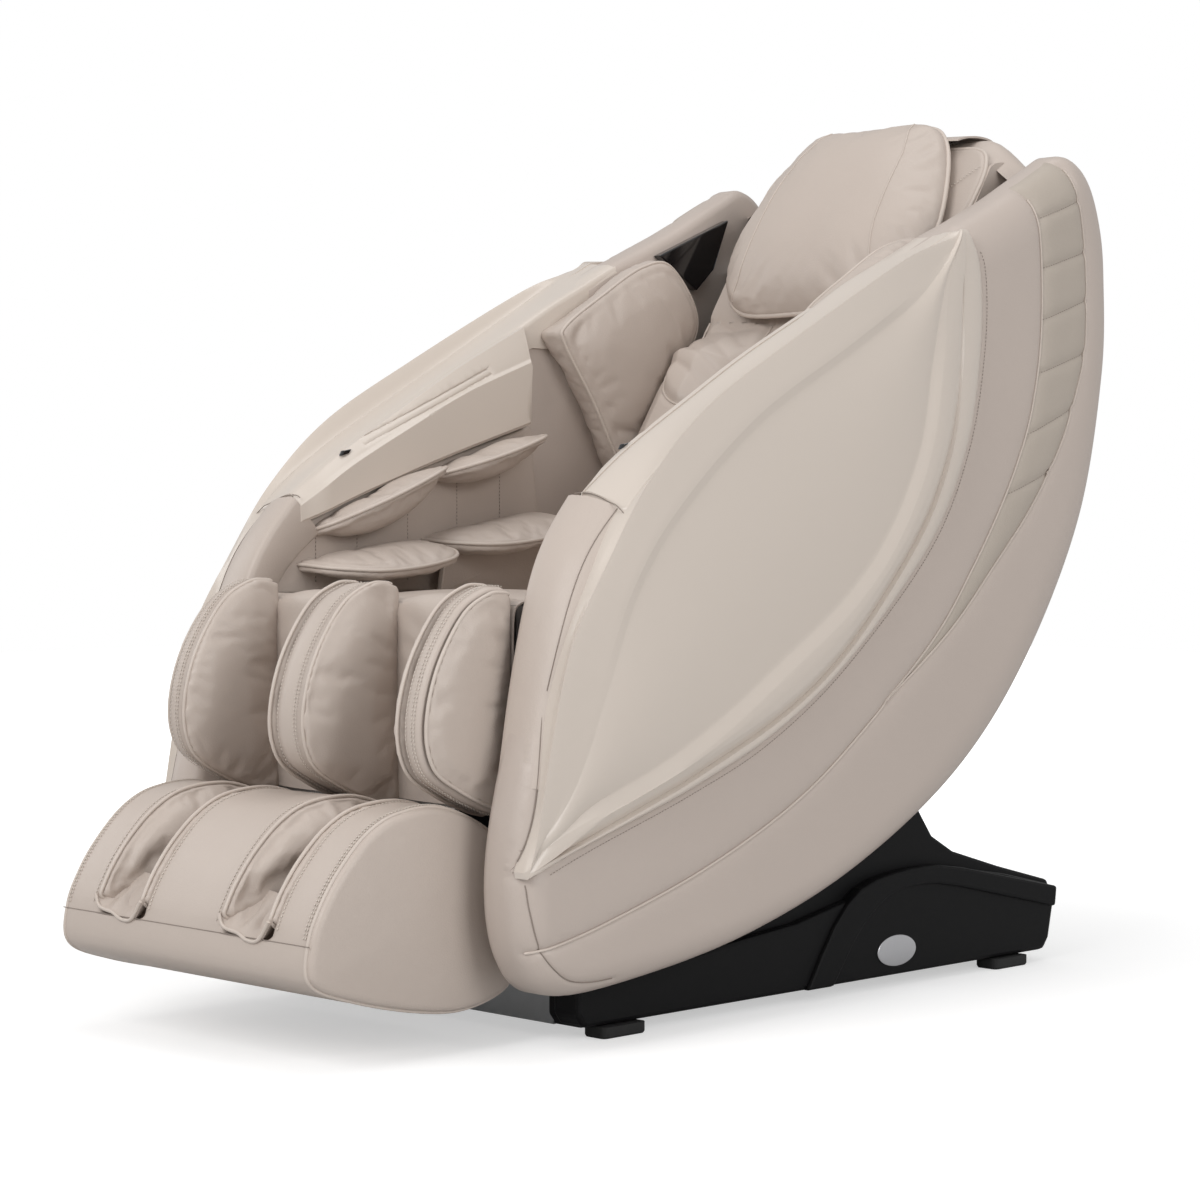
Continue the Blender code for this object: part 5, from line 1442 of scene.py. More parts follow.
# ---- Back, shoulders, seat and head ----
@dataclass
class ShoulderPads:
    """Piped pads beside the back."""

    sewing: Sewing
    outline: tuple[Pair, ...] = ((0.480, 0.945), (0.560, 0.997), (0.646, 1.044), (0.712, 1.048), (0.773, 0.968),
                                 (0.732, 0.880), (0.636, 0.738), (0.598, 0.738), (0.540, 0.830), (0.480, 0.915))
    inner: float = 0.2280
    outer: float = 0.2897

    def dress(self) -> None:
        """Makes both pads with piping and stitches."""
        loop = smooth_line(self.outline, True, 10)
        pad = Pad(loop, self.inner + 0.006, self.outer - 0.002, (0.012, 0.0), 0.007, side_view, 190)
        seam = pad.edge_line(0.10, 0.0008, 200)
        form = pad.form()
        for hand, made, turn in (("left", form, list), ("right", form.mirrored(), mirror_lines)):
            obj = made.piece("shoulder_cushion_" + hand, (LEATHER,))
            Swelling(0.0055, 3.5, 0.008, 0.006, slack=0.03).apply(obj, turn([seam]))
            settle(obj, "chair_body", Slot.LEATHER, ["shoulder_pad_" + hand])
            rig.padded(obj, 0.6)
            self.sewing.piping("shoulder_piping_" + hand, turn([seam]), 0.0026, "chair_body", True)
            inner = pad.edge_line(0.03, -0.006)
            self.sewing.stitches("shoulder_stitches_" + hand, turn([inner]), "chair_body", closed=True)
        LOG.info("shoulder pads: two cushions with piping and stitches")


@dataclass
class Seat:
    """Seat cushion with a crowned front."""

    pan: float = 0.456
    half: float = 0.286
    line: tuple[Pair, ...] = ((0.070, 0.0005), (0.036, 0.024), (0.034, 0.064), (0.052, 0.092), (0.110, 0.102),
                              (0.300, 0.084), (0.440, 0.064), (0.478, 0.044), (0.468, 0.0005))

    def place(self, y: float, z: float, x: float) -> Vector:
        """As the side view, but never under the pan's top."""
        return at(x, y, max(z, self.pan + 0.0004))

    def dress(self) -> None:
        """Makes the cushion and the roll behind it."""
        loop = smooth_line([(y, self.pan + up) for y, up in self.line], True, 8)
        pad = Pad(loop, -self.half + 0.006, self.half - 0.006, (0.006, 0.006), 0.020, self.place, 150,
                  (0.26, self.pan + 0.045))
        form = pad.form()
        obj = form.piece("seat_leather", (LEATHER,))
        ends = [pad.edge_line(0.04, -0.004), pad.edge_line(0.96, -0.004)]
        Swelling(0.007, 4.0, 0.016, 0.010).apply(obj, ends, lambda p: p[:, 2] < self.pan + 0.006)
        settle(obj, "chair_body", Slot.LEATHER, ["seat_cushion"])
        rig.padded(obj, 0.75)
        roll = Pad(smooth_line([(0.448, 0.466), (0.446, 0.512), (0.470, 0.532), (0.500, 0.548), (0.524, 0.566),
                                (0.546, 0.560), (0.540, 0.510), (0.520, 0.466)], True, 6),
                   -self.half + 0.004, self.half - 0.004, (0.0, 0.0), 0.004, side_view, 90)
        settle(roll.form().piece("seat_roll", (LEATHER,)), "chair_body", Slot.LEATHER)
        LOG.info("seat: one cushion and a roll behind it")


@dataclass
class BackPad:
    """Back pad with quilted wings, a vertical seam each side and a seam across its foot."""

    sewing: Sewing
    half: float = 0.2220
    long: float = 0.7350
    rear: float = -0.0860
    profile: tuple[Pair, ...] = ((0.0, -0.020), (0.225, -0.020), (0.450, -0.016), (0.530, -0.002),
                                 (0.676, 0.018), (0.856, 0.019), (0.964, 0.006), (1.0, -0.020))
    top_out: float = -0.0360
    cross_seam: float = 0.205
    wing_top: Pair = (0.360, 0.430)
    wing: tuple[Pair, ...] = ((0.222, 0.455), (0.226, 0.385), (0.212, 0.322), (0.180, 0.278), (0.142, 0.262),
                              (0.112, 0.274), (0.096, 0.312), (0.088, 0.380), (0.084, 0.440))
    channels: tuple[tuple[Pair, Pair], ...] = (
        ((0.209, 0.452), (0.110, 0.396)), ((0.219, 0.424), (0.104, 0.359)), ((0.221, 0.391), (0.102, 0.324)),
        ((0.200, 0.345), (0.116, 0.294)))

    def height(self, x: np.ndarray, up: np.ndarray) -> np.ndarray:
        """How far the pad's front stands out."""
        shares, outs = zip(*self.profile)
        full = np.interp(np.abs(x) / self.half, shares, outs)
        fade = np.clip((up - self.wing_top[0]) / (self.wing_top[1] - self.wing_top[0]), 0, 1)
        high = full + (np.minimum(self.top_out, full) - full) * fade
        edge = np.minimum(up, self.long - up)
        high = high - 0.022 * (1 - np.clip(edge / 0.030, 0, 1)) ** 2
        flat = np.stack([np.abs(x), up], axis=1)
        wing = smooth_line(self.wing)
        near = np.abs(distance_to(flat, wing))
        inside = within(flat, wing)
        high = high + inside * 0.006 * ramp(near, 0.0, 0.020) - 0.0040 * bump(near, 0.006)
        for a, b in self.channels:
            near = np.abs(distance_to(flat, evenly(smooth_line([a, (0.5 * (a[0] + b[0]), 0.5 * (a[1] + b[1]) + 0.006),
                                                                b]), 12)))
            high = high - 0.0022 * bump(near, 0.005) - 0.0042 * bump(near, 0.016)
        seam = np.abs(np.abs(x) - 0.090)
        high = high - (up < 0.27) * 0.003 * bump(seam, 0.004)
        near = np.abs(up - self.cross_seam + 0.10 * (np.abs(x) - 0.16))
        return high - (np.abs(x) > 0.09) * 0.0035 * bump(near, 0.005)

    def dress(self) -> None:
        """Makes the pad and its seams."""
        columns, rows = 150, 230
        xs = np.linspace(-self.half, self.half, columns)
        ups = np.linspace(0.0, self.long, rows)
        form = Form()
        grid = []
        for up in ups:
            high = self.height(xs, np.full(columns, up))
            grid.append(form.put(BACK.place(x, up, h) for x, h in zip(xs, high)))
        form.skin(grid, False)
        spots = [(x, 0.0) for x in xs] + [(self.half, up) for up in ups[1:]] \
            + [(x, self.long) for x in xs[-2::-1]] + [(-self.half, up) for up in ups[-2:0:-1]]
        behind = form.put(BACK.place(x, up, self.rear) for x, up in spots)
        form.skin([rim_of(grid), behind])
        form.face(behind)
        obj = form.piece("back_leather", (LEATHER,), 60.0)
        settle(obj, "chair_body", Slot.LEATHER, ["back_pad"])
        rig.padded(obj, 0.7)
        seams, stitches = [], []
        for side in (1.0, -1.0):
            wing = part_of(smooth_line(self.wing), 0.0, 1.0, 120)
            high = self.height(wing[:, 0], wing[:, 1])
            seams.append(BACK.line((side * u, v, h + 0.001) for (u, v), h in zip(wing, high)))
            down = np.stack([np.full(60, 0.090), np.linspace(0.02, 0.262, 60)], axis=1)
            high = self.height(down[:, 0], down[:, 1])
            stitches.append(BACK.line((side * u, v, h + 0.0006) for (u, v), h in zip(down, high)))
        filler = Pad(smooth_line(evenly(np.array([(0.214, 0.004), (0.2885, 0.004), (0.2885, 0.400), (0.214, 0.400)]),
                                        60, True), True, 3), -0.060, -0.032, (0.0, 0.006), 0.006, BACK.place, 120)
        both_hands(filler.form(), "back_filler", (LEATHER,), "chair_body")
        self.sewing.piping("back_piping", seams, 0.0018, "chair_body")
        # The stitches down the back are painted seam shade.
        self.sewing.stitches("back_stitches", stitches, "chair_body", finish=SEAM_SHADE_THREAD)
        LOG.info("back pad: quilted wings, piping and stitches")


@dataclass
class HeadPillow:
    """Head pillow with a piped edge and a curved gusset seam each side."""

    sewing: Sewing
    foot: float = 0.440
    hinge: float = 0.780
    back: float = -0.035

    def outline(self) -> np.ndarray:
        """The pillow's outline on the back's plane."""
        middle = (self.foot + self.hinge) / 2
        half = [(0.0, self.foot), (0.125, self.foot + 0.006), (0.180, self.foot + 0.060), (0.194, middle - 0.030),
                (0.170, middle + 0.070), (0.136, self.hinge - 0.030), (0.092, self.hinge - 0.002),
                (0.0, self.hinge)]
        return smooth_line(half + [(-x, up) for x, up in half[-2:0:-1]], True, 8)

    def gusset(self, side: float) -> list[Pair]:
        """The curved seam of one side."""
        return [(side * x, self.foot + up) for x, up in ((0.146, 0.012), (0.128, 0.060), (0.118, 0.120),
                                                        (0.114, 0.190), (0.106, 0.260), (0.082, 0.330))]

    def dress(self) -> None:
        """Makes the pillow, swells it and sews it."""
        pad = Pad(self.outline(), self.back + 0.004, self.back + 0.050, (0.0, 0.026), 0.012, BACK.place, 180)
        form = pad.form()
        obj = form.piece("pillow_leather", (LEATHER,))
        edge = pad.edge_line(0.42, 0.0)
        Swelling(0.006, 4.0, 0.012, 0.007, slack=0.01).apply(obj, [edge])
        settle(obj, "pillow", Slot.LEATHER, ["head_pillow"])
        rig.padded(obj, 0.85)
        self.sewing.piping("pillow_piping", [edge], 0.0042, "pillow", True)
        lines = [on_surface(obj, evenly(smooth_line(self.gusset(side)), 80), 0.0004) for side in (1.0, -1.0)]
        # The gusset stitches and the thin cord over them are painted seam shade.
        self.sewing.stitches("pillow_stitches", lines, "pillow", finish=SEAM_SHADE_THREAD)
        self.sewing.piping("pillow_gusset", lines, 0.0011, "pillow")
        LOG.info("pillow: swollen form, piping, gusset seams")


def on_surface(obj: bpy.types.Object, flat: np.ndarray, proud: float) -> np.ndarray:
    """Lays a line given on the back's plane onto a piece's front by looking down onto it.

    Args:
        obj: The piece.
        flat: The line, x and up.
        proud: How far the line stands off the piece.

    Returns:
        The line's points in space.
    """
    bpy.context.view_layer.update()
    tree = BVHTree.FromObject(obj, bpy.context.evaluated_depsgraph_get())
    way = (BACK.place(0, 0, 0) - BACK.place(0, 0, 1)).normalized()
    points = []
    for x, up in flat:
        hit = tree.ray_cast(BACK.place(x, up, 0.4), way)[0]
        if hit is not None:
            points.append(tuple(hit - way * proud))
    return np.array(points)


@dataclass
class Hood:
    """Upholstered hood over the back's top, a piped pad in front of it and a thin flap over it."""

    sewing: Sewing
    half: float = 0.2860
    line: tuple[Pair, ...] = ((0.946, 1.213), (0.970, 1.226), (0.998, 1.212), (1.012, 1.170), (1.012, 1.120),
                              (1.002, 1.080))
    strap: tuple[Pair, ...] = ((0.916, 1.2290), (0.940, 1.2350), (0.970, 1.2372), (0.996, 1.2340), (1.0110, 1.2230),
                               (1.0170, 1.2050), (1.0180, 1.1880))
    cap: tuple[Pair, ...] = ((0.0, 0.560), (0.150, 0.566), (0.205, 0.600), (0.217, 0.665), (0.212, 0.716),
                             (0.188, 0.744), (0.120, 0.751), (0.0, 0.752))

    def hood(self) -> Form:
        """The hood: its side view drawn across, lower and rounded at both ends."""
        start, end = BACK.place(0.0, 0.7353, -0.036), BACK.place(0.0, 0.7353, -0.088)
        line = [tuple(p) for p in smooth_line([(start.y + SEAM_Y, start.z), *self.line], steps=8)]
        line += [(0.990, 1.080), (0.992, 1.130), (end.y + SEAM_Y, end.z)]
        loop = anticlockwise(evenly(np.array(line), 150, True))
        form, rows = Form(), []
        for x in np.concatenate([[-1.0, -0.996, -0.985, -0.965], np.linspace(-0.93, 0.93, 44),
                                 [0.965, 0.985, 0.996, 1.0]]):
            out = abs(float(x))
            round_end = 0.014 * (1 - math.sqrt(max(0.0, 1 - max(0.0, (out - 0.93) / 0.07) ** 2)))
            droop = 0.075 * float(ramp(np.array([out]), 0.60, 1.0)[0])
            ring = moved(loop, round_end, True)
            rows.append(form.put(
                at(float(x) * self.half, float(y), float(z) - droop * max(0.0, (float(z) - 1.080) / 0.146))
                for y, z in ring))
        return form.tube(rows)

    def flap(self) -> Form:
        """The thin flap that lies over the hood."""
        path = evenly(smooth_line(self.strap), 60)
        form, rows = Form(), []
        for x in np.linspace(-0.160, 0.160, 60):
            droop = 0.004 * (abs(float(x)) / 0.160) ** 3
            upper = [at(x, y, z - droop) for y, z in path]
            lower = [p + Vector((0.0, -0.0010, -0.0030)) for p in reversed(upper)]
            rows.append(form.put(upper + lower))
        return form.tube(rows)

    def dress(self) -> None:
        """Makes the hood, its flap and the piped pad."""
        obj = self.hood().piece("hood_leather", (LEATHER,), 60.0)
        settle(obj, "chair_body", Slot.LEATHER, ["back_hood"])
        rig.padded(obj, 0.7)
        settle(self.flap().piece("hood_flap", (LEATHER,), 60.0), "chair_body", Slot.LEATHER)
        outline = smooth_line(list(self.cap) + [(-x, up) for x, up in self.cap[-2:0:-1]], True, 10)
        pad = Pad(outline, -0.046, -0.030, (0.0, 0.0030), 0.006, BACK.place, 200)
        cap = pad.form().piece("neck_leather", (LEATHER,))
        settle(cap, "chair_body", Slot.LEATHER)
        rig.padded(cap, 0.5)
        self.sewing.piping("neck_piping", [pad.edge_line(0.7, 0.0008, 200)], 0.0034, "chair_body", True)
        crease = evenly(np.array([(0.150, 0.655), (0.208, 0.705)]), 30)
        rows = [BACK.line((side * x, up, -0.0266) for x, up in crease) for side in (1.0, -1.0)]
        self.sewing.stitches("neck_stitches", rows, "chair_body", radius=0.0009)
        LOG.info("hood: one form, a flap and a piped pad")


# ---- Leg unit ----
@dataclass
class CalfWalls:
    """Three padded walls, each a stitched front strip between two piped cushions, and lined channels between."""

    sewing: Sewing
    line: tuple[Pair, ...] = ((-0.100, 0.574), (-0.132, 0.572), (-0.178, 0.545), (-0.222, 0.478), (-0.240, 0.405),
                              (-0.226, 0.350), (-0.180, 0.318), (-0.130, 0.296), (-0.100, 0.288))
    rear: float = -0.085
    walls: tuple[tuple[str, float, float, float, float], ...] = (
        ("left", 0.203, 0.265, 0.019, 0.013), ("centre", -0.045, 0.045, 0.019, 0.019),
        ("right", -0.265, -0.203, 0.013, 0.019))
    channel: tuple[float, float] = (0.045, 0.203)
    frame_half: float = 0.2605
    middle: float = 0.43
    gather: tuple[Pair, ...] = ((-0.0115, 0.5400), (-0.0135, 0.5500), (-0.030, 0.5535), (-0.055, 0.5555),
                                (-0.078, 0.5530), (-0.0900, 0.538), (-0.0915, 0.480), (-0.0915, 0.400),
                                (-0.0905, 0.330), (-0.0870, 0.296))

    def put(self, y: float, z: float, x: float) -> Vector:
        """The side view, never behind the frame's face."""
        return at(x, min(y, self.rear), z)

    def shape(self, grown: float) -> np.ndarray:
        """The walls' side view, grown by a distance."""
        front = evenly(smooth_line(self.line, steps=16), 130)
        loop = np.vstack([[[self.rear, self.line[0][1] - 0.006]], front, [[self.rear, self.line[-1][1] + 0.006]]])
        return moved(anticlockwise(evenly(loop, 240, True)), -grown, True)

    def in_order(self, y: np.ndarray, z: np.ndarray) -> np.ndarray:
        """The order of points round a wall, from its rear."""
        return np.argsort(np.arctan2(z - self.middle, y - self.rear) % (2 * math.pi))

    def wall(self, name: str, low: float, high: float, before: float, after: float) -> None:
        """Makes one wall.

        Args:
            name: The wall's name.
            low: Its left side.
            high: Its right side.
            before: The width of the cushion at its left side.
            after: The width of the cushion at its right side.
        """
        strip = Pad(self.shape(0.0), low + before, high - after, (0.0, 0.0), 0.0055, self.put, 200).form()
        filling = Pad(self.shape(-0.016), low + 0.010, high - 0.010, (0.0, 0.0), 0.004, self.put, 120).form()
        base = len(strip.corners)
        strip.put(filling.corners)
        for face in filling.faces:
            strip.face([i + base for i in face])
        obj = strip.piece("calf_leather_" + name, (LEATHER,))
        settle(obj, "legrest", Slot.LEATHER, ["calf_wall_" + name])
        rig.padded(obj, 0.55)
        cords = []
        for label, edge, inward, margin in (("a", low, 1.0, before), ("b", high, -1.0, after)):
            start, end = sorted((edge + inward * 0.004, edge + inward * (margin - 0.0055)))
            outer_side = margin < 0.015
            swell = 0.003 if outer_side else 0.012
            crown = (swell, 0.0) if inward > 0 else (0.0, swell)
            pad = Pad(self.shape(-0.0065 if outer_side else 0.0022), start, end, crown, 0.0060, self.put, 200)
            seam = pad.edge_line(0.80 if inward > 0 else 0.20, 0.0006, 200)
            cushion = pad.form().piece("calf_cushion_{}_{}".format(name, label), (LEATHER,))
            Swelling(0.0050, 4.0, 0.006, 0.0055, slack=0.03).apply(
                cushion, [seam], lambda p: p[:, 1] + SEAM_Y > self.rear - 0.006)
            settle(cushion, "legrest", Slot.LEATHER)
            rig.padded(cushion, 0.6)
            shown = seam[seam[:, 1] + SEAM_Y < self.rear - 0.008]
            cords.append(shown[self.in_order(shown[:, 1] + SEAM_Y, shown[:, 2])])
        self.sewing.piping("calf_piping_" + name, cords, 0.0026, "legrest")
        ring = self.shape(0.0008)
        ring = ring[ring[:, 0] < self.rear - 0.010]
        ring = ring[self.in_order(ring[:, 0], ring[:, 1])]
        rows = [drawn(ring, x) for x in (low + before + 0.0080, high - after - 0.0075, high - after - 0.0120)]
        self.sewing.stitches("calf_stitches_" + name, rows, "legrest", radius=0.00065)

    def lining(self) -> Form:
        """The soft lining of one channel, gathered a little."""
        path = evenly(smooth_line(self.gather), 70)
        across = np.linspace(0.0, self.frame_half, 60)
        share = np.clip((across - self.channel[0]) / (self.channel[1] - self.channel[0]), 0.0, 1.0)
        form = Form()
        front, rear = [], []
        for k, (y, z) in enumerate(path):
            way = path[min(k + 1, 69)] - path[max(k - 1, 0)]
            way /= np.linalg.norm(way)
            out = np.array([way[1], -way[0]])
            swell = np.sin(math.pi * share) ** 0.7
            folds = 0.0014 * np.sin(70 * across + 9 * math.sin(k * 0.11)) * math.sin(math.pi * k / 69)
            rise = swell * (0.007 + folds)
            for rows, depth in ((front, 0.0), (rear, 0.0022)):
                spots = np.array([y, z]) + (rise - depth)[:, None] * out
                rows.append(form.put(at(x, u, v) for x, (u, v) in zip(across, spots)))
        form.skin(front, False)
        form.skin(rear[::-1], False)
        form.skin([rim_of(front), rim_of(rear)])
        return form

    def dress(self) -> None:
        """Makes the three walls and two linings."""
        for wall in self.walls:
            self.wall(*wall)
        both_hands(self.lining(), "calf_lining", (LEATHER,), "legrest")
        LOG.info("calf walls: three walls with piped cushions, stitches and two linings")


@dataclass
class FootUnit:
    """Upholstered foot unit with two wells, their piped cushions and creased liners, and piped end panels."""

    sewing: Sewing
    half: float = 0.262
    back: float = -0.070
    line: tuple[Pair, ...] = ((-0.070, 0.110), (-0.090, 0.072), (-0.160, 0.053), (-0.242, 0.060), (-0.345, 0.085),
                              (-0.405, 0.112), (-0.406, 0.162), (-0.385, 0.208), (-0.355, 0.248), (-0.316, 0.284),
                              (-0.270, 0.304), (-0.200, 0.308), (-0.125, 0.278), (-0.070, 0.230))
    panel_deep: float = 0.0085
    mouth: tuple[Pair, ...] = ((-0.4045, 0.180), (-0.3860, 0.214), (-0.3560, 0.252), (-0.3160, 0.286),
                               (-0.2700, 0.3055), (-0.2020, 0.3085), (-0.1380, 0.288), (-0.1120, 0.266))
    bed: tuple[Pair, ...] = ((-0.112, 0.200), (-0.160, 0.160), (-0.240, 0.154), (-0.320, 0.156), (-0.385, 0.164))
    well_at: float = 0.128
    well_wide: float = 0.100
    well: tuple[Pair, ...] = ((-0.460, 0.168), (-0.370, 0.150), (-0.300, 0.112), (-0.200, 0.104), (-0.135, 0.140),
                              (-0.110, 0.240), (-0.100, 0.420), (-0.460, 0.420))

    def side(self, count: int) -> np.ndarray:
        """The side view."""
        return anticlockwise(evenly(smooth_line(self.line, steps=10), count))

    def body(self) -> bpy.types.Object:
        """The body without its wells: the side view drawn across, rounded at both ends."""
        loop = self.side(200)
        form, rows = Form(), []
        ends = ((0.0, 0.012), (0.0010, 0.0080), (0.003, 0.0048), (0.006, 0.0022), (0.010, 0.0008), (0.018, 0.0))
        half = self.half - self.panel_deep
        stations = [(-half + x, depth) for x, depth in ends]
        stations += [(float(x), 0.0) for x in np.linspace(-half + 0.06, half - 0.06, 40)]
        stations += [(half - x, depth) for x, depth in reversed(ends)]
        for x, depth in stations:
            ring = moved(loop, depth, True)
            rows.append(form.put(at(x, min(float(y), self.back), float(z)) for y, z in ring))
        return form.tube(rows).piece("foot_leather", (LEATHER,), 60.0)

    def dress(self) -> None:
        """Cuts the wells, softens the edges and sews the borders."""
        obj = self.body()
        tools = []
        for side in (1.0, -1.0):
            x = side * self.well_at
            loop = anticlockwise(evenly(np.array(self.well), 120, True))
            form, rows = Form(), []
            half = self.well_wide / 2
            for across, depth in ((-half, 0.012), (-half + 0.003, 0.004), (-half + 0.010, 0.0), (half - 0.010, 0.0),
                                  (half - 0.003, 0.004), (half, 0.012)):
                rows.append(form.put(laid(moved(loop, depth, True), x + across)))
            tool = form.tube(rows).piece("well_tool", (LEATHER,))
            tools.append(tool)
            cut = obj.modifiers.new("well", "BOOLEAN")
            cut.operation = "DIFFERENCE"
            cut.object = tool
            cut.solver = "EXACT"
        remesh = obj.modifiers.new("cells", "REMESH")
        remesh.mode = "VOXEL"
        remesh.voxel_size = 0.004
        soft = obj.modifiers.new("soft", "SMOOTH")
        soft.factor = 0.5
        soft.iterations = 4
        mesh = baked(obj)
        mesh.name = "foot_leather"
        mesh.materials.clear()
        mesh.materials.append(LEATHER.material())
        mesh.shade_smooth()
        for tool in tools:
            bpy.data.objects.remove(tool, do_unlink=True)
        settle(obj, "footrest", Slot.LEATHER, ["foot_shell"])
        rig.padded(obj, 0.8)
        self.panels()
        self.wells()
        self.seams()
        LOG.info("foot unit: body, wells, end panels, piping and stitches")

    def profile(self, depth: float, low: float, high_y: float) -> np.ndarray:
        """The front and top of the side view from a height to a distance back, drawn in by a depth."""
        loop = moved(self.side(300), depth, True)
        top = loop[((loop[:, 1] > low) & (loop[:, 0] < high_y)) & ((loop[:, 1] > 0.20) | (loop[:, 0] < -0.30))]
        return top[np.argsort(-np.arctan2(top[:, 1] - 0.12, top[:, 0] + 0.20))]

    def panels(self) -> None:
        """The crowned end panels with their piping."""
        loop = moved(self.side(240), 0.0030, True)
        loop = np.array([(min(y, self.back), z) for y, z in loop])
        inner = self.half - self.panel_deep
        pad = Pad(loop, inner - 0.014, inner + 0.0005, (0.0, 0.0085), 0.0075, side_view, 200, (-0.21, 0.18))
        seam = pad.edge_line(0.35, 0.0016, 240)
        for hand, made, turn in (("left", pad.form(), list), ("right", pad.form().mirrored(), mirror_lines)):
            obj = made.piece("foot_panel_" + hand, (LEATHER,))
            settle(obj, "footrest", Slot.LEATHER)
            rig.padded(obj, 0.6)
            self.sewing.piping("foot_piping_" + hand, turn([seam]), 0.0026, "footrest", True)

    def wells(self) -> None:
        """Two piped cushions in each well and the creased liner at its front."""
        outline = np.vstack([evenly(smooth_line(self.mouth), 90), evenly(smooth_line(self.bed), 70)])
        outline = anticlockwise(evenly(outline, 180, True))
        half = self.well_wide / 2
        for hand, middle in (("left", self.well_at), ("right", -self.well_at)):
            for label, start, end, crown, share in (
                    ("a", middle - half - 0.004, middle - half + 0.012, (0.0, 0.034), 0.62),
                    ("b", middle + half - 0.010, middle + half + 0.004, (0.016, 0.0), 0.38)):
                pad = Pad(outline, start, end, crown, 0.008, side_view, 180)
                seam = pad.edge_line(share, 0.0012, 180)
                obj = pad.form().piece("sole_cushion_{}_{}".format(hand, label), (LEATHER,))
                Swelling(0.0045, 4.0, 0.008, 0.0055, slack=0.05).apply(obj, [seam])
                settle(obj, "footrest", Slot.LEATHER)
                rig.padded(obj, 0.6)
                shown = seam[(seam[:, 2] > 0.168)]
                turn = np.argsort(-np.arctan2(shown[:, 2] - 0.12, shown[:, 1] + SEAM_Y + 0.20))
                self.sewing.piping("sole_piping_{}_{}".format(hand, label), [shown[turn]], 0.0026, "footrest")
            lip = evenly(smooth_line([(middle - half + 0.002, 0.181), (middle - 0.040, 0.166),
                                      (middle - 0.012, 0.161), (middle + 0.006, 0.154), (middle + 0.028, 0.156),
                                      (middle + half - 0.002, 0.180)]), 60)
            form, rows = Form(), []
            for step in range(14):
                t = step / 13
                rows.append(form.put(
                    at(float(x), -0.4085 + 0.062 * t,
                       float(z) + 0.004 * math.sin(math.pi * min(2 * t, 1.0)) + 0.042 * t ** 1.4
                       + 0.004 * math.sin(math.pi * t) * math.sin(210 * float(x) + 4 * t)) for x, z in lip))
            rows.append(form.put(form.corners[i] - Vector((0.0, 0.0, 0.004)) for i in rows[-1]))
            rows.append(form.put(form.corners[i] - Vector((0.0, -0.002, 0.004)) for i in rows[0]))
            obj = form.shell(rows).piece("sole_liner_" + hand, (LEATHER,), 70.0)
            settle(obj, "footrest", Slot.LEATHER)
            cord = np.array([tuple(at(x, -0.4090, z)) for x, z in lip])
            self.sewing.piping("liner_piping_" + hand, [cord], 0.0024, "footrest")

    def seams(self) -> None:
        """Stitches beside the wells and the end panels, and the seam across the front."""
        border = self.well_wide / 2 + 0.009
        wells, ends = self.profile(-0.0008, 0.170, -0.125), self.profile(-0.0008, 0.166, -0.085)
        rows = [drawn(wells, middle + edge) for middle in (-self.well_at, self.well_at) for edge in (-border, border)]
        rows += [drawn(ends, x) for x in (self.half - 0.021, self.half - 0.0245, -self.half + 0.021,
                                          -self.half + 0.0245)]
        self.sewing.stitches("foot_stitches", rows, "footrest", radius=0.0008)
        across = np.linspace(-self.half + 0.012, self.half - 0.012, 120)
        front = self.profile(0.0, 0.150, -0.35)
        y = float(np.interp(0.157, front[:, 1], front[:, 0])) if front[0, 1] < front[-1, 1] else -0.4075
        # The thin dark cord across the front is painted shade of the seam there.
        self.sewing.piping("foot_seam", [np.array([tuple(at(x, y, 0.157)) for x in across])], 0.0007,
                           "footrest", finish=SEAM_SHADE_THREAD)


# ---- Base, mechanism and stage ----
@dataclass
class Base:
    """Finishes of the hard parts that keep their own shape, and the plain badge."""

    badge_at: Pair = (0.609, 0.052)
    badge_size: Pair = (0.042, 0.022)
    face: float = 0.2970

    def dress(self) -> None:
        """Gives each hard node its finish."""
        kinds = {Slot.BLACK: MOULDING, Slot.RUBBER: RUBBER, Slot.STEEL: STEEL, Slot.CHROME: CHROME,
                 Slot.HOUSING: HOUSING, Slot.ROLLER: TYRE}
        count = 0
        for name, obj in frame["nodes"].items():
            for place in obj.material_slots:
                for slot, finish in kinds.items():
                    if place.material and place.material.name.startswith(slot.value):
                        place.material = finish.material()
                        count += 1
            if name.startswith("speaker"):
                obj.material_slots[0].material = SPEAKER.material()
        y, z = self.badge_at
        wide, high = self.badge_size
        around = np.linspace(0, 2 * math.pi, 64, endpoint=False)
        loop = np.stack([y + wide * np.cos(around), z + high * np.sin(around)], axis=1)
        pad = Pad(loop, self.face - 0.001, self.face + 0.0022, (0.0, 0.0006), 0.0010, side_view, 64)
        both_hands(pad.form(), "badge_plate", (BADGE,), "base", (), Slot.CHROME)
        LOG.info("hard parts: %d slots finished, two plain badges", count)


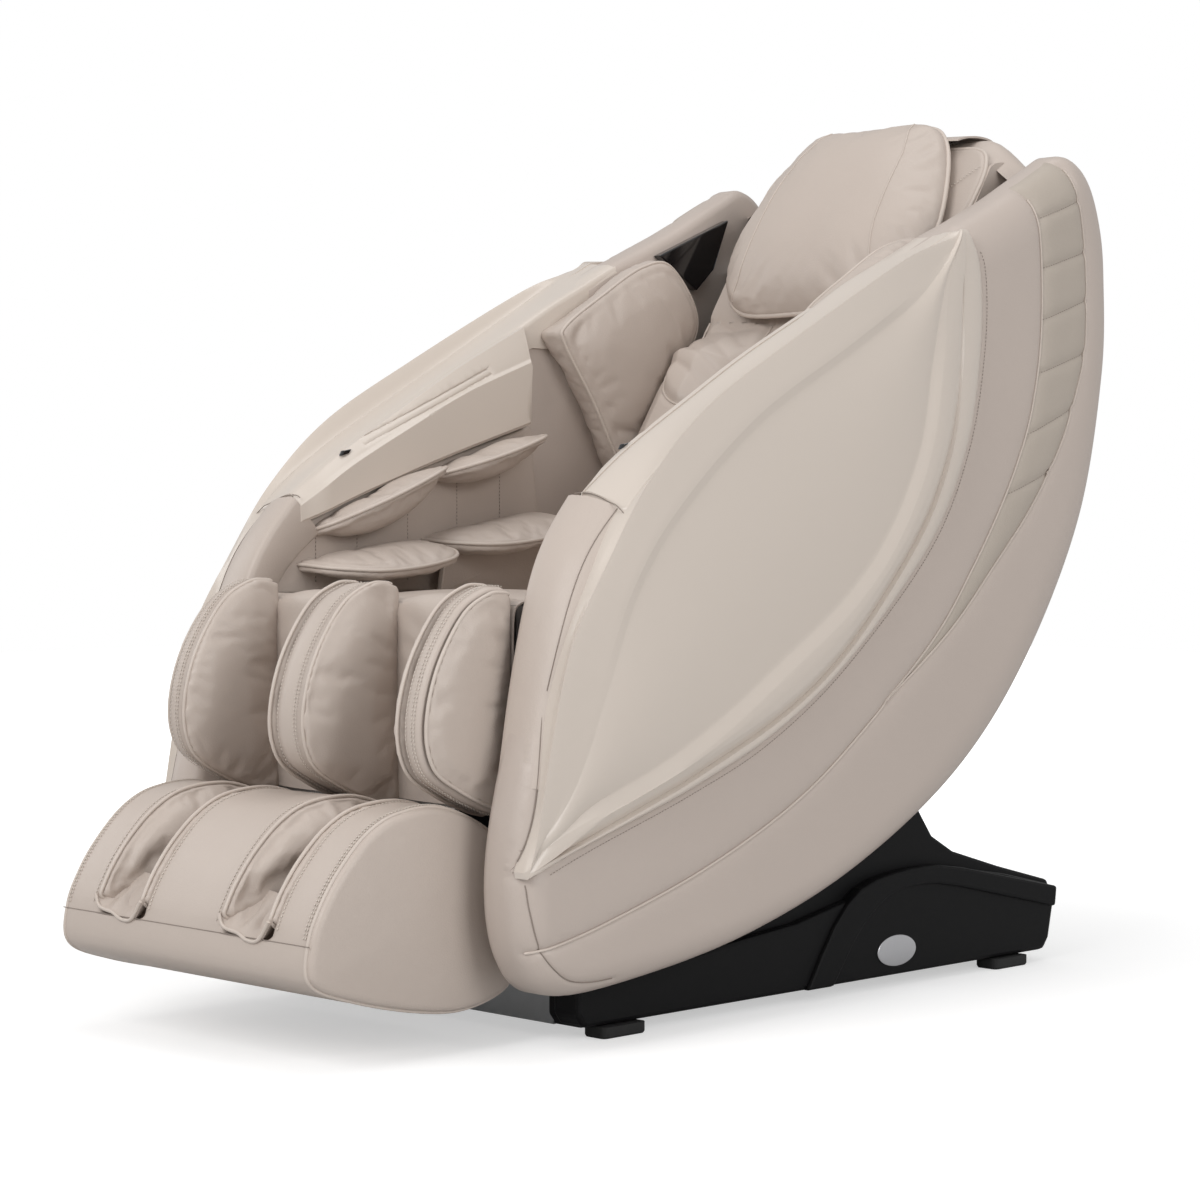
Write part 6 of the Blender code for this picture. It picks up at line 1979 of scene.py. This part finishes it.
@dataclass
class Stage:
    """Camera, pale floor and soft lamps."""

    eye: tuple[float, float, float] = (2.905, -2.8735, 0.663)
    azimuth: float = 45.26
    pitch: float = 1.68
    lens: float = 87.7

    def dress(self) -> None:
        """Makes the stage."""
        data = bpy.data.cameras.new("camera")
        data.lens = self.lens
        data.sensor_width = 36.0
        data.clip_start = 0.05
        camera = bpy.data.objects.new("camera", data)
        camera.location = self.eye
        camera.rotation_euler = (math.radians(90 - self.pitch), 0.0, math.radians(self.azimuth))
        bpy.context.scene.collection.objects.link(camera)
        bpy.context.scene.camera = camera
        mesh = bpy.data.meshes.new("floor")
        mesh.from_pydata([(-9, -9, 0), (9, -9, 0), (9, 9, 0), (-9, 9, 0)], [], [(0, 1, 2, 3)])
        floor = bpy.data.objects.new("floor", mesh)
        floor.location = (0.0, 0.0, -0.0005)
        mesh.materials.append(self.floor_material())
        bpy.context.scene.collection.objects.link(floor)
        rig.stage(floor)
        self.lamp("key", (0.6, -4.2, 3.2), (0.1, -0.1, 0.6), 2.4, 100.0)
        self.lamp("side", (4.8, -0.6, 2.2), (0.2, 0.1, 0.55), 2.2, 70.0)
        self.lamp("top", (0.2, 0.3, 4.6), (0.0, 0.1, 0.6), 2.6, 36.0)
        self.lamp("left", (-3.8, -1.4, 1.8), (0.0, 0.0, 0.6), 2.0, 22.0)
        self.world()
        bpy.context.scene.view_settings.view_transform = "Standard"

    @staticmethod
    def lamp(name: str, place: tuple[float, float, float], target: tuple[float, float, float], size: float,
             power: float) -> None:
        """One square soft lamp."""
        data = bpy.data.lights.new(name, "AREA")
        data.shape = "SQUARE"
        data.size = size
        data.energy = power
        lamp = bpy.data.objects.new(name, data)
        lamp.location = place
        way = Vector(target) - Vector(place)
        lamp.rotation_euler = way.to_track_quat("-Z", "Y").to_euler()
        bpy.context.scene.collection.objects.link(lamp)

    @staticmethod
    def floor_material() -> bpy.types.Material:
        """A pale floor that looks white to the camera where no shadow falls."""
        mat = bpy.data.materials.new("floor")
        mat.use_nodes = True
        graph = Graph(mat.node_tree)
        where = graph.add("ShaderNodeTexCoord")
        far = graph.add("ShaderNodeVectorMath", {0: where.outputs["Object"]}, operation="LENGTH")
        level = graph.add("ShaderNodeMapRange", {
            "From Min": 0.9, "From Max": 2.6, "To Min": 0.50, "To Max": 1.0, "Value": far.outputs["Value"]},
            interpolation_type="SMOOTHSTEP")
        strength = graph.add("ShaderNodeMath", {0: level.outputs["Result"], 1: Stage.seen(graph)},
                             operation="MULTIPLY")
        graph.feed(mat.node_tree.nodes["Principled BSDF"], {
            "Base Color": (0.62, 0.62, 0.62, 1.0), "Roughness": 0.9, "Specular IOR Level": 0.1,
            "Emission Color": (1.0, 1.0, 1.0, 1.0), "Emission Strength": strength.outputs[0]})
        return mat

    @staticmethod
    def seen(graph: Graph) -> bpy.types.NodeSocket:
        """One for the camera's own rays and for those that pass through a piece, else zero."""
        path = graph.add("ShaderNodeLightPath").outputs
        return graph.add("ShaderNodeMath", {0: path["Is Camera Ray"], 1: path["Is Transmission Ray"]},
                         operation="MAXIMUM").outputs[0]

    @staticmethod
    def world() -> None:
        """An even pale surround, white where the camera looks straight into it."""
        world = bpy.data.worlds.new("surround")
        bpy.context.scene.world = world
        world.use_nodes = True
        graph = Graph(world.node_tree)
        level = graph.add("ShaderNodeMapRange", {"To Min": 0.55, "To Max": 1.0, "Value": Stage.seen(graph)})
        graph.feed(world.node_tree.nodes["Background"], {
            "Color": (1.0, 1.0, 1.0, 1.0), "Strength": level.outputs["Result"]})


def note_sizes() -> None:
    """Writes the box of the solids and the box of the looks."""
    def plain(box: Sequence[Sequence[float]]) -> list[list[float]]:
        return [[round(float(c), 5) for c in corner] for corner in box]

    with open("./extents.json", "w", encoding="utf-8") as out:
        json.dump({"cad": plain(CAD_BOX), "looks": plain(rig.bounds())}, out)


def main() -> None:
    """Builds the chair's looks, piece by piece."""
    logging.basicConfig(level=logging.INFO, format="%(message)s")
    Stage().dress()
    sewing = Sewing()
    for part in (SidePanel(sewing), LeafPanel(), ArmCover(), ArmTop(sewing), ArmPads(sewing), ShoulderPads(sewing),
                 Seat(), BackPad(sewing), HeadPillow(sewing), Hood(sewing), CalfWalls(sewing), FootUnit(sewing),
                 Base()):
        part.dress()
    note_sizes()


if __name__ == "__main__":
    main()
